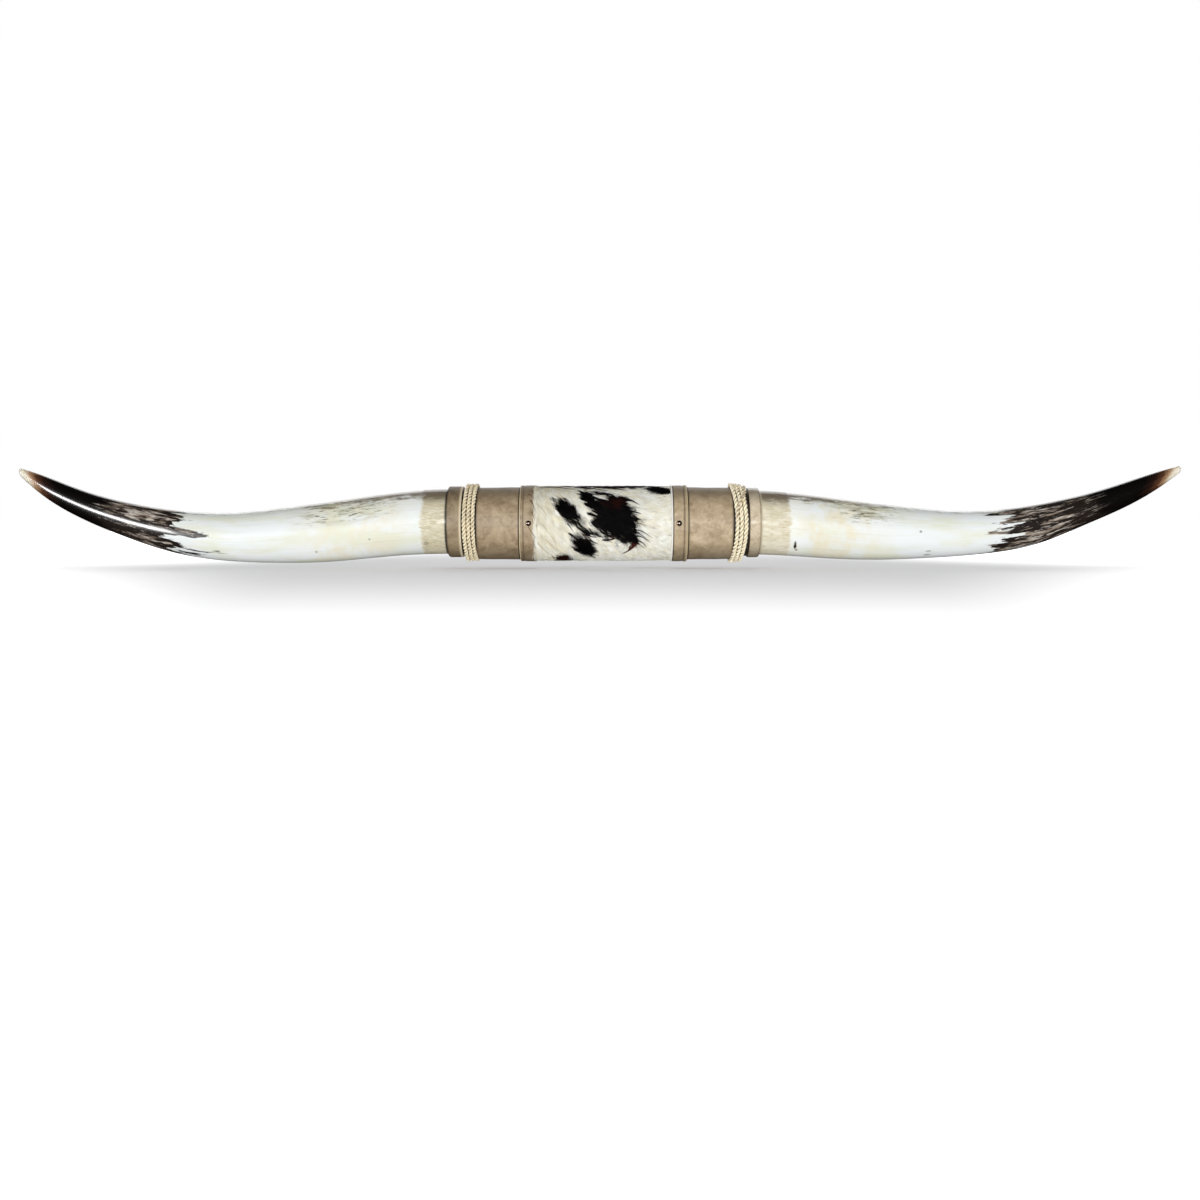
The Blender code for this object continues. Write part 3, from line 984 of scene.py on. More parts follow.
@dataclass
class Horn:
    """One horn: its measured stations, and the mesh that is grown along them."""

    side: Side
    stations: tuple[tuple[float, float, float, float], ...]
    finish: HornFinish
    sides: int = 48
    rings: int = 66
    cap_rings: int = 7
    depth_share: float = 0.95
    oval_from: float = 0.21
    oval_to: float = 0.30
    slope_step: float = 0.001
    first_cap_ring: float = 0.3
    base_spread: float = 0.45
    swell: tuple[float, float] = (0.09, 0.0005)
    lines: dict[str, Spline] = field(default_factory=dict)

    def __post_init__(self) -> None:
        """Reads the splines of the centre line and the thickness."""
        reach, rise, sweep, thickness = zip(*self.stations)
        values = {"rise": rise, "sweep": sweep, "thickness": thickness}
        self.lines = {name: Spline(reach, value) for name, value in values.items()}

    def read(self, name: str, reach: float) -> float:
        """One of the measured lines at a reach."""
        return float(self.lines[name].at(reach))

    def slope(self, name: str, reach: float) -> float:
        """How steeply one of the measured lines rises at a reach."""
        step = self.slope_step
        return (self.read(name, reach + step) - self.read(name, reach - step)) / (2 * step)

    def ring(self, reach: float, radius: float) -> Ring:
        """One upright ring of the horn.

        Args:
            reach: Its distance from the middle.
            radius: Half the horn's thickness there.

        Returns:
            The ring.
        """
        depth_share = 1 - (1 - self.depth_share) * ease(reach, self.oval_from, self.oval_to)
        return Ring(
            x=self.side.value * reach,
            y=AXIS_Y - self.read("sweep", reach),
            z=self.read("rise", reach),
            depth=radius * depth_share * math.hypot(1.0, self.slope("sweep", reach)),
            height=radius * math.hypot(1.0, self.slope("rise", reach)),
        )

    def build(self) -> Piece:
        """Grows the horn from its tip to its base.

        Returns:
            The horn.
        """
        tip_radius = self.stations[-1][3] / 2
        cap_start = TIP_REACH - tip_radius
        rings = []
        for i in range(self.cap_rings):
            turn = math.pi / 2 * (i + self.first_cap_ring) / self.cap_rings
            radius = self.read("thickness", cap_start) / 2 * math.sin(turn)
            rings.append(self.ring(cap_start + tip_radius * math.cos(turn), radius))
        base = self.stations[0][0]
        for i in range(self.rings + 1):
            share = i / self.rings
            share *= 1 - self.base_spread * (1 - share)
            reach = cap_start - (cap_start - base) * share
            rings.append(self.ring(reach, self.read("thickness", reach) / 2))
        horn = Bench.grow(f"{self.side.word}_horn_polished", rings, self.sides, RingEnds.TIP)
        Bench.soften(horn, 1)
        Bench.ripple(horn, *self.swell)
        Bench.smooth(horn)
        self.note_grain(horn)
        return horn

    def note_grain(self, horn: Piece) -> None:
        """Notes where each corner is on the horn: distance from the tip, and front and top share of the turn.

        Args:
            horn: The horn.
        """
        corners = Bench.corners(horn)
        reach = np.abs(corners[:, 0])
        front = (AXIS_Y - self.lines["sweep"].at(reach)) - corners[:, 1]
        up = corners[:, 2] - self.lines["rise"].at(reach)
        span = np.maximum(np.hypot(front, up), 1e-6)
        grain = np.column_stack((TIP_REACH - reach, front / span, up / span))
        Bench.note(horn, "grain", "FLOAT_VECTOR", grain)

    def dress(self) -> None:
        """Builds, finishes and hands over the horn."""
        Bench.hand_over(self.build(), self.finish.make(), "horn", f"{self.side.word}_horn")


@dataclass
class Wrapping:
    """The leather on one side: the sleeve, the strap over its inner end and the collar on the horn."""

    side: Side
    leather: Paint
    collar_leather: Paint
    horn: Horn
    collar_radius: float
    collar_rise: float
    sides: int = 160
    sleeve_radius: float = 0.0485
    groove_radius: float = 0.0475
    sleeve_flat: float = 0.0460
    strap_thickness: float = 0.0015
    fold_width: float = 0.0052
    bulge: float = 0.0003
    fold_height: float = 0.0006
    wall: float = 0.0012
    gap: float = 0.0003
    edge: float = 0.0005
    shoulder: float = 0.0030
    sleeve_swell: tuple[float, float] = (0.035, 0.0009)
    strap_swell: tuple[float, float] = (0.02, 0.0003)
    collar_swell: tuple[float, float] = (0.03, 0.0006)

    def turned(
        self, node: str, profile: Sequence[tuple[float, float, float, float]], swell: tuple[float, float]
    ) -> Piece:
        """Turns a tube's wall around the core, with the unevenness of leather.

        Args:
            node: The node's name without its side.
            profile: Reach, radius, rise and flat of each ring.
            swell: How wide the leather's swells are and how high.

        Returns:
            The piece.
        """
        rings = [
            Ring(x=self.side.value * reach, z=rise, depth=radius, height=radius, flat=AXIS_Y + flat)
            for reach, radius, rise, flat in profile
        ]
        piece = Bench.grow(f"{self.side.word}_{node}_leather", rings, self.sides, RingEnds.TUBE)
        Bench.ripple(piece, *swell)
        Bench.smooth(piece, WRAP_SMOOTH)
        return piece

    def run(self, start: float, end: float, step: float = 0.0035) -> np.ndarray:
        """Even stations between two ends."""
        return np.linspace(start, end, max(2, round((end - start) / step) + 1))

    def span(self, node: str) -> tuple[float, float]:
        """Where a node of this side starts and ends, as reach from the middle.

        Args:
            node: The node's name without its side.

        Returns:
            The two ends, the inner one first.
        """
        low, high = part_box(f"{self.side.word}_{node}")
        ends = sorted((abs(low[0]), abs(high[0])))
        return ends[0], ends[1]

    def note_edges(self, piece: Piece, **spans: Sequence[tuple[float, float, float]]) -> None:
        """Notes where the leather is raw, on cut edges, and where it gets painted shade: in folds, beside
        steps and in gaps.

        Args:
            piece: The leather piece.
            spans: For each note its spans: from, to and how far past them it fades, as reach from the middle.
        """
        reach = np.abs(Bench.corners(piece)[:, 0])
        for name in ("raw", "worn", "deep"):
            share = np.zeros(len(reach))
            for start, end, fade in spans.get(name, ()):
                outside = np.maximum(start - reach, reach - end)
                share = np.maximum(share, 1 - ease(outside, 0.0, fade))
            Bench.note(piece, name, "FLOAT", share)

    def sleeve(self) -> Piece:
        """The sleeve from the hide to the groove of the rope, and thin on under the collar.

        Returns:
            The sleeve.
        """
        start, end = self.span("sleeve")
        groove = self.span("rope")[0] - (0.0012 if self.side is Side.LEFT else 0.0020)
        rise = self.horn.read("rise", end)
        profile = [(start, self.sleeve_radius - self.edge, 0.0, self.sleeve_flat - self.edge)]
        for reach in self.run(start + self.edge, groove - self.edge, 0.0012):
            share = (reach - start) / (groove - start)
            radius = self.sleeve_radius + (self.groove_radius - self.sleeve_radius) * share
            profile.append((float(reach), radius, 0.0, self.sleeve_flat))
        profile.append((groove, self.groove_radius - self.edge, 0.0, self.sleeve_flat - self.edge))
        inner = self.horn.read("thickness", groove) / 2 + 2 * self.gap
        profile += [
            (groove, inner + self.wall, self.horn.read("rise", groove), self.sleeve_flat - 2 * self.edge),
            (end, inner + self.wall, rise, self.sleeve_flat), (end, inner, rise, self.sleeve_flat),
            (start, inner, 0.0, self.sleeve_flat - self.wall),
        ]
        piece = self.turned("sleeve", profile, self.sleeve_swell)
        strap_end = self.span("strap")[1]
        # Painted shade on the sleeve beside the strap's end and before the rope's groove, and near black in
        # the groove.
        self.note_edges(
            piece, worn=((strap_end, strap_end + 0.0008, 0.0020), (groove - 0.001, groove, 0.0020)),
            deep=((strap_end - 0.0004, strap_end + 0.0012, 0.0008), (groove - 0.0002, end, 0.0002)),
        )
        return piece

    def strap(self) -> Piece:
        """The strap beside the hide, folded double along its outer edge.

        Returns:
            The strap.
        """
        start, end = self.span("strap")
        inner = self.sleeve_radius + self.gap
        low, high = self.strap_thickness, self.strap_thickness + self.fold_height
        fold = end - self.fold_width
        heights = [(start, low - self.edge), (start + self.edge, low)]
        middle = (start + fold) / 2
        for reach in self.run(start + 3 * self.edge, fold - 3 * self.edge, 0.0010):
            away = (float(reach) - middle) / (middle - start)
            heights.append((float(reach), low + self.bulge * (1 - away * away)))
        heights += [(fold - self.edge, low * 0.90), (fold, low * 0.76), (fold + self.edge, low * 1.02)]
        heights += [(fold + 2 * self.edge, high * 0.95), (fold + 3 * self.edge, high)]
        heights += [(end - 3 * self.edge, high), (end - self.edge, high * 0.9), (end, high * 0.6)]
        profile = [(start, inner, 0.0, self.sleeve_flat + self.gap)]
        profile += [(reach, inner + up, 0.0, self.sleeve_flat + self.gap + up) for reach, up in heights]
        profile += [(end, inner, 0.0, self.sleeve_flat + self.gap)]
        piece = self.turned("strap", profile, self.strap_swell)
        piping = end - 0.0014 if self.side is Side.RIGHT else end - 0.0006
        # Painted shade in the strap's fold and where it meets the hide; its pale piping is the leather's own.
        self.note_edges(
            piece, raw=((piping, end, 0.0005),), worn=((fold, fold + 0.0004, 0.0016),),
            deep=((start - 0.001, start + 0.0003, 0.0005),),
        )
        return piece

    def collar(self) -> Piece:
        """The collar around the horn, with a rolled shoulder.

        Returns:
            The collar.
        """
        start, end = self.span("collar")
        read, radius, shoulder = self.horn.read, self.collar_radius, self.shoulder
        profile = [(start, radius - self.edge, self.collar_rise, math.inf)]
        for reach in self.run(start + self.edge, end - shoulder):
            profile.append((float(reach), radius, self.collar_rise, math.inf))
        for share in (0.25, 0.5, 0.75, 1.0):
            turn = math.pi / 2 * share
            reach = end - shoulder * (1 - math.sin(turn))
            drop = (1 - math.cos(turn)) * shoulder * 0.62
            lift = (read("rise", reach) - self.collar_rise) * share
            profile.append((reach, radius - drop, self.collar_rise + lift, math.inf))
        inner = read("thickness", end) / 2 + self.gap
        profile.append((end - self.edge, inner, read("rise", end), math.inf))
        profile.append((start, inner + self.wall, read("rise", start), math.inf))
        piece = self.turned("collar", profile, self.collar_swell)
        # Painted shade towards the collar's end on the horn, with a dark painted shadow at the left collar's
        # end; the pale edges are the leather's own.
        pale_edge, junction_shade = ((start, start + 0.0008, 0.0004),), ((end - 0.0005, end + 0.001, 0.0008),)
        if self.side is Side.RIGHT:
            pale_edge, junction_shade = ((end - 0.0004, end + 0.001, 0.0006),), ()
        self.note_edges(piece, raw=pale_edge, worn=((end - 0.0010, end, 0.0018),), deep=junction_shade)
        return piece

    def dress(self) -> None:
        """Builds, finishes and hands over the leather."""
        for piece, leather in (
            (self.sleeve(), self.leather), (self.strap(), self.leather), (self.collar(), self.collar_leather)
        ):
            Bench.hand_over(piece, leather, "leather", piece.name.removesuffix("_leather"))


@dataclass
class RopeWinding:
    """One rope, wound around the groove in turns side by side, each turn laid up of twisted strands."""

    side: Side
    finish: Paint
    radius: float
    rise: float
    seed: int
    pitch: float = 0.0057
    turns: int = 3
    strands: int = 2
    strand_radius: float = 0.00150
    lay_radius: float = 0.00122
    twist_length: float = 0.0112
    bow: float = 0.0020
    climb: float = 0.0
    crossing: bool = False
    crossing_turn: tuple[float, float] = (104.0, 172.0)
    crossing_points: int = 90
    crossing_strand: float = 0.62
    step_share: float = 0.12
    spacing: float = 0.0008
    ring_sides: int = 8
    wander: float = 0.07
    wander_points: int = 9
    loose_fibres: int = 420
    fibre_width: float = 0.00016
    fibre_root: float = 0.0022
    fibre_spread: float = 0.0018
    fibre_length: tuple[float, float] = (0.002, 0.006)
    fibre_lift: tuple[float, float] = (-0.0001, 0.0009)
    fibre_arch: float = 0.0004
    fibre_lean: float = 0.9

    @property
    def whole(self) -> float:
        """How many turns the rope runs in all."""
        return self.turns - self.step_share

    @property
    def start(self) -> float:
        """The reach of the first turn's middle."""
        low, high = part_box(f"{self.side.word}_rope")
        return min(abs(low[0]), abs(high[0])) + self.pitch / 2

    def around(self, reach: np.ndarray, radius: np.ndarray, angle: np.ndarray) -> np.ndarray:
        """Points around the groove, from their reach, their radius and their turn from the back."""
        up = self.rise + radius * np.sin(angle)
        return np.column_stack((self.side.value * reach, AXIS_Y + radius * np.cos(angle), up))

    def centre_line(self, turns: np.ndarray) -> np.ndarray:
        """The rope's centre line, drawn in towards the middle at the top and the bottom.

        Args:
            turns: How far around, in turns from the back.

        Returns:
            One point for each value.
        """
        lane = np.floor(turns) + ease(turns % 1, 1 - self.step_share, 1.0)
        drawn = np.sin(FULL_TURN * turns) ** 2
        radius = self.radius + self.climb * drawn * (1 - lane / self.turns)
        return self.around(self.start + lane * self.pitch - self.bow * drawn, radius, FULL_TURN * turns)

    def directions(
        self, line: np.ndarray, course: np.ndarray, squared: bool = False
    ) -> tuple[np.ndarray, np.ndarray, np.ndarray]:
        """The directions along a line, away from the core, and across both.

        Args:
            line: The line's points.
            course: Which way it runs at each point.
            squared: Whether the second direction is made square to the first.

        Returns:
            The three directions at each point.
        """
        along = unit(course)
        outward = line - np.array((0.0, AXIS_Y, self.rise))
        outward[:, 0] = 0.0
        if squared:
            outward -= along * np.sum(outward * along, axis=1)[:, None]
        outward = unit(outward)
        return along, outward, np.cross(along, outward)

    @staticmethod
    def lengths(line: np.ndarray) -> np.ndarray:
        """How far along a line each of its points is."""
        return np.concatenate(((0.0,), np.cumsum(np.linalg.norm(np.diff(line, axis=0), axis=1))))

    def tube(
        self, line: np.ndarray, radius: np.ndarray
    ) -> tuple[np.ndarray, list[tuple[int, ...]], np.ndarray]:
        """One strand as a closed tube.

        Args:
            line: Its centre line.
            radius: Its radius at each point.

        Returns:
            The corners, the faces and the fibre note.
        """
        _, outward, sideways = self.directions(line, np.gradient(line, axis=0), squared=True)
        turn = FULL_TURN * np.arange(self.ring_sides) / self.ring_sides
        cos, sin = np.cos(turn), np.sin(turn)
        ring = outward[:, None, :] * cos[None, :, None] + sideways[:, None, :] * sin[None, :, None]
        corners = (line[:, None, :] + ring * radius[:, None, None]).reshape(-1, 3)
        count, sides = len(line), self.ring_sides
        faces = [
            (here + k, here + sides + k, here + sides + (k + 1) % sides, here + (k + 1) % sides)
            for here in range(0, (count - 1) * sides, sides) for k in range(sides)
        ]
        faces += [tuple(range(sides)), tuple(reversed(range((count - 1) * sides, count * sides)))]
        length = np.repeat(self.lengths(line), sides)
        return corners, faces, np.column_stack((length, np.tile(cos, count), np.tile(sin, count)))

    def lay_up(self, line: np.ndarray, phase: float, lay: float) -> np.ndarray:
        """Twists one strand around the rope's centre line.

        Args:
            line: The centre line.
            phase: Where the strand starts around it.
            lay: How far out it lies.

        Returns:
            The strand's own line.
        """
        _, outward, sideways = self.directions(line, np.gradient(line, axis=0))
        turn = FULL_TURN * self.lengths(line) / self.twist_length + phase
        return line + lay * (outward * np.cos(turn)[:, None] + sideways * np.sin(turn)[:, None])

    def build(self) -> Piece:
        """Lays up the strands of the whole winding.

        Returns:
            The rope.
        """
        draw = np.random.default_rng(self.seed)
        count = round(self.whole * FULL_TURN * self.radius / self.spacing)
        line = self.centre_line(np.linspace(0.0, self.whole, count))
        phases = [FULL_TURN * i / self.strands for i in range(self.strands)]
        paths = [(line, self.lay_up(line, phase, self.lay_radius), self.strand_radius) for phase in phases]
        if self.crossing:
            paths += self.crossing_paths()
        outermost = self.lay_radius + self.strand_radius
        corners, faces, fibres, strand_shade = [], [], [], []
        for middle, path, radius in paths:
            knots = np.arange(0, len(path) + self.wander_points, self.wander_points)
            swell = np.interp(np.arange(len(path)), knots, draw.standard_normal(len(knots)))
            points, quads, fibre = self.tube(path, radius * (1 + self.wander * swell))
            start = sum(len(block) for block in corners)
            corners.append(points)
            faces += [tuple(start + c for c in face) for face in quads]
            fibre[:, 0] += draw.uniform(0, 5)
            fibres.append(fibre)
            # Painted shade: each strand darkens where it lies near the rope's middle, between the strands.
            far = np.linalg.norm(points - np.repeat(middle, self.ring_sides, axis=0), axis=1)
            strand_shade.append(1 - ease(far, 0.52 * outermost, 0.84 * outermost))
        piece = Bench.from_arrays(f"{self.side.word}_rope_twisted", np.vstack(corners), faces)
        Bench.note(piece, "fibre", "FLOAT_VECTOR", np.vstack(fibres))
        Bench.note(piece, "strand_shade", "FLOAT", np.concatenate(strand_shade))
        return piece

    def crossing_paths(self) -> list[tuple[np.ndarray, np.ndarray, float]]:
        """The end of the rope that is laid slanting over the turns at the front, in two strands.

        Returns:
            For each strand the middle that it twists around, its line and its radius.
        """
        share = np.linspace(0.0, 1.0, self.crossing_points)
        angle = np.radians(np.interp(share, (0.0, 1.0), self.crossing_turn))
        reach = self.start + (self.turns - 1) * self.pitch * (1 - ease(share, 0.30, 0.90))
        lift = self.radius + self.lay_radius + self.strand_radius * (1.5 * np.sin(np.pi * share) ** 0.5 - 0.4)
        middle = self.around(reach, lift, angle)
        half = self.strand_radius * self.crossing_strand
        return [(middle, self.lay_up(middle, phase, half), half * 1.15) for phase in (0.0, math.pi)]

    def whiskers(self) -> Piece:
        """The loose fibres that stand off the rope.

        Returns:
            The fibres, joined in one piece.
        """
        draw = np.random.default_rng(self.seed + 50)
        turns = draw.uniform(0.0, self.whole, self.loose_fibres)
        line = self.centre_line(turns)
        along, outward, sideways = self.directions(line, self.centre_line(turns + 0.01) - line)
        corners, faces = [], []
        for i in range(self.loose_fibres):
            lean = draw.uniform(-self.fibre_lean, self.fibre_lean)
            beside = draw.uniform(-self.fibre_spread, self.fibre_spread)
            root = line[i] + outward[i] * self.fibre_root + sideways[i] * beside
            reach = draw.uniform(*self.fibre_length)
            tip = root + along[i] * reach * draw.choice((-1.0, 1.0)) + sideways[i] * reach * lean
            tip = tip + outward[i] * draw.uniform(*self.fibre_lift)
            middle = (root + tip) / 2 + outward[i] * self.fibre_arch
            wide = sideways[i] * self.fibre_width / 2
            start = len(corners)
            corners += [root - wide, root + wide, middle - wide, middle + wide, tip]
            faces += [(start, start + 1, start + 3, start + 2), (start + 2, start + 3, start + 4)]
        piece = Bench.from_arrays(f"{self.side.word}_rope_fibres", np.array(corners), faces)
        Bench.note(piece, "fibre", "FLOAT_VECTOR", np.array(corners) * 3.0)
        Bench.note(piece, "strand_shade", "FLOAT", np.zeros(len(corners)))
        return piece

    def dress(self) -> None:
        """Builds, finishes and hands over the rope."""
        Bench.hand_over(self.build(), self.finish, "rope", f"{self.side.word}_rope")
        Bench.hand_over(self.whiskers(), self.finish, "rope")


@dataclass(frozen=True)
class Spot:
    """A dark spot in the hide: its middle along the core and around it, its half sizes and its slant."""

    along: float
    around: float
    long: float
    wide: float
    slant: float


@dataclass(frozen=True)
class Wisp:
    """A longer lock over the coat: its start, the point that it bends towards, its end, width and colour."""

    start: tuple[float, float]
    bend: tuple[float, float]
    end: tuple[float, float]
    width: float
    colour: Colour


@dataclass
class Cowhide:
    """The cowhide in the middle: a skin and its hair, laid in locks along the grain of the coat."""

    skin_finish: Paint
    hair_finish: Paint
    spots: tuple[Spot, ...]
    flow: tuple[tuple[float, float, float], ...]
    wisps: tuple[Wisp, ...]
    skin_radius: float = 0.0480
    skin_flat: float = 0.0452
    skin_rings: int = 120
    skin_sides: int = 192
    hair_layer: float = 0.0031
    wall: float = 0.0012
    lock_size: float = 0.0052
    lock_jitter: float = 0.42
    strand_size: float = 0.0016
    hair_length: float = 0.0175
    root_inset: float = 0.0024
    root_past_left: float = 0.0036
    tip_past_left: float = 0.0046
    tip_inset_right: float = 0.0020
    lock_primes: tuple[int, int] = (7919, 104729)
    strand_primes: tuple[int, int] = (6151, 31337)
    seen_share: float = 0.45
    hair_width: float = 0.00034
    hairs_a_patch: int = 37000
    patches: tuple[tuple[float, float], ...] = ((-0.27, 0.0), (0.0, 0.27), (0.27, 0.73))
    hairs_a_wisp: int = 44
    wisp_steps: int = 8
    chances: int = 65521
    seed: int = 7
    white: Colour = srgb(251, 251, 243)
    cream: Colour = srgb(238, 231, 208)
    black: Colour = srgb(5, 4, 5)
    maroon: Colour = srgb(40, 14, 10)
    tawny: Colour = srgb(122, 88, 58)
    cut: Colour = srgb(236, 234, 226)

    @property
    def way_around(self) -> float:
        """The way around the skin."""
        return FULL_TURN * self.skin_radius

    def span(self) -> tuple[float, float]:
        """The hide's two ends along X."""
        low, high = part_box("cowhide_wrap")
        return low[0], high[0]

    def away(self, around: np.ndarray, place: float) -> np.ndarray:
        """The shorter way around the core from a place."""
        return (around - place + self.way_around / 2) % self.way_around - self.way_around / 2

    def darkness(self, along: np.ndarray, around: np.ndarray) -> np.ndarray:
        """How far inside a dark spot a place is: over 0 inside, under 0 outside.

        Args:
            along: Places along the core.
            around: Places around it, as arc length from the front.

        Returns:
            The darkness at each place.
        """
        best = np.full(np.shape(along), -9.0)
        for spot in self.spots:
            x, s = along - spot.along, self.away(around, spot.around)
            cos, sin = math.cos(math.radians(spot.slant)), math.sin(math.radians(spot.slant))
            u, v = x * cos + s * sin, -x * sin + s * cos
            best = np.maximum(best, 1 - np.hypot(u / spot.long, v / spot.wide))
        return best

    def heading(self, along: np.ndarray, around: np.ndarray) -> np.ndarray:
        """Which way the coat lies.

        Args:
            along: Places along the core.
            around: Places around it, as arc length from the front.

        Returns:
            The angle from the X direction, in radians.
        """
        cos, sin = np.zeros(np.shape(along)), np.zeros(np.shape(along))
        for x, s, degrees in self.flow:
            weight = 1 / (((along - x) ** 2 + self.away(around, s) ** 2) * 1e4 + 0.04) ** 1.6
            cos += weight * math.cos(math.radians(degrees))
            sin += weight * math.sin(math.radians(degrees))
        return np.arctan2(sin, cos)

    def onto(self, along: np.ndarray, around: np.ndarray, height: np.ndarray) -> np.ndarray:
        """Lays flat places onto the wrapped skin.

        Args:
            along: Places along the core.
            around: Places around it, as arc length from the front.
            height: Height over the skin.

        Returns:
            Points in space.
        """
        angle = around / self.skin_radius
        radius = self.skin_radius + height
        behind = np.minimum(-radius * np.cos(angle), self.skin_flat + height)
        return np.stack((along, AXIS_Y + behind, radius * np.sin(angle)), axis=-1)

    def ring(self, x: float, height: float) -> Ring:
        """A ring around the core at a height over the skin, with the same height over its flat back."""
        radius = self.skin_radius + height
        return Ring(x=float(x), z=0.0, depth=radius, height=radius, flat=AXIS_Y + self.skin_flat + height)

    @staticmethod
    def note_coat(piece: Piece, coat: np.ndarray) -> None:
        """Notes the coat's colour, one row for each corner."""
        Bench.note(piece, "coat", "FLOAT_COLOR", np.column_stack((coat, np.ones(len(coat)))))

    def skin(self) -> Piece:
        """The skin under the hair.

        Returns:
            The skin.
        """
        left, right = self.span()
        rings = [self.ring(x, 0.0) for x in np.linspace(left, right, self.skin_rings)]
        rings = [self.ring(left, -self.wall), *rings, self.ring(right, -self.wall)]
        piece = Bench.grow("cowhide_skin", rings, self.skin_sides, RingEnds.TUBE)
        Bench.smooth(piece, WRAP_SMOOTH)
        corners = Bench.corners(piece)
        angle = np.arctan2(corners[:, 2], AXIS_Y - corners[:, 1])
        dark = ease(self.darkness(corners[:, 0], angle * self.skin_radius), -0.05, 0.05)[:, None]
        self.note_coat(piece, np.array(self.cream) * 0.55 * (1 - dark) + np.array(self.black) * dark)
        return piece

    def hair(self, patch: int) -> Piece:
        """One patch of hair.

        Args:
            patch: Which part of the way around the core it covers.

        Returns:
            The hair, joined in one piece.
        """
        draw = np.random.default_rng(self.seed + patch)
        left, right = self.span()
        count = self.hairs_a_patch
        along = draw.uniform(left - self.root_inset * 0.2, right - self.root_inset, count)
        along -= self.root_past_left * draw.uniform(0.0, 1.0, count) ** 2 * (along < left + 0.0040)
        low, high = self.patches[patch]
        around = draw.uniform(low * self.way_around, high * self.way_around, count)

        column, row = (np.floor(place / self.lock_size).astype(int) for place in (along, around))
        table = np.random.default_rng(self.seed + 99).uniform(-1.0, 1.0, (self.chances, 6))
        lock = table[(column * self.lock_primes[0] + row * self.lock_primes[1]) % self.chances]
        centre_along = (column + 0.5 + self.lock_jitter * lock[:, 0]) * self.lock_size
        centre_around = (row + 0.5 + self.lock_jitter * lock[:, 1]) * self.lock_size
        column, row = (np.floor(place / self.strand_size) for place in (along, around))
        fine = column * self.strand_primes[0] + row * self.strand_primes[1]
        strand = np.roll(table, 1, axis=1)[(fine % self.chances).astype(int)]

        heading = self.heading(along, around) + 0.20 * lock[:, 2] + 0.10 * draw.standard_normal(count)
        length = self.hair_length * (0.78 + 0.22 * lock[:, 3] + 0.16 * draw.uniform(-1.0, 1.0, count))
        calm = 1 - 0.35 * ease(along, 0.045, 0.085)
        length *= calm
        across = -np.sin(heading) * (centre_along - along) + np.cos(heading) * (centre_around - around)
        clump = 0.72 - (1 - calm)
        bend = 0.25 * lock[:, 4] + 0.12 * draw.standard_normal(count)
        lift_top = 0.55 + 0.22 * lock[:, 5] + 0.14 * strand[:, 1] + 0.08 * draw.uniform(-1.0, 1.0, count)
        furthest = left - self.tip_past_left * draw.uniform(0.0, 1.0, count) ** 2
        lift_top *= self.hair_layer * calm

        leaning = heading - self.heading(along, around)
        side_along, side_around = -np.sin(heading), np.cos(heading)
        rows, before = [], 0.0
        run_along, run_around = along, around
        for step, width in ((0.0, 1.0), (0.38, 0.95), (0.74, 0.62), (1.0, 0.0)):
            if step:
                turned = self.heading(run_along, run_around) + leaning + bend * step
                run_along = run_along + np.cos(turned) * length * (step - before)
                run_around = run_around + np.sin(turned) * length * (step - before)
            pulled = across * clump * step ** 1.3
            at_along = np.minimum(run_along + side_along * pulled, right - self.tip_inset_right)
            at_along = np.maximum(at_along, furthest)
            at_around = run_around + side_around * pulled
            height = lift_top * (1 - (1 - step) ** 2.2) * (1 - 0.25 * step)
            on_strap = ease(left - at_along, -0.0008, 0.0006)
            height = np.maximum(height, on_strap * (0.0026 + 0.0004 * draw.uniform(0, 1, count)))
            half = self.hair_width / 2 * width
            tilt = 0.4 * self.hair_width * draw.uniform(-1.0, 1.0, count) * width
            for way in (-1, 1) if width else (0,):
                spot = at_along + side_along * half * way, at_around + side_around * half * way
                rows.append(self.onto(*spot, height + tilt * way))
            before = step
        corners = np.stack(rows, axis=1).reshape(-1, 3)
        piece = Bench.from_arrays(f"cowhide_hair_{patch + 1}", corners, self.blades(count, len(rows)))
        seen_along = along + np.cos(heading) * length * self.seen_share
        seen_around = around + np.sin(heading) * length * self.seen_share
        self.colour_hair(piece, draw, seen_along, seen_around, lock, strand, len(rows))
        return piece

    @staticmethod
    def blades(count: int, each: int) -> list[list[int]]:
        """The faces of hairs that are ribbons of paired corners with one corner at the tip.

        Args:
            count: How many hairs.
            each: How many corners a hair has.

        Returns:
            The faces.
        """
        first = np.arange(count) * each
        faces = []
        for i in range(0, each - 3, 2):
            faces += np.stack((first + i, first + i + 1, first + i + 3, first + i + 2), axis=-1).tolist()
        return faces + np.stack((first + each - 3, first + each - 2, first + each - 1), axis=-1).tolist()

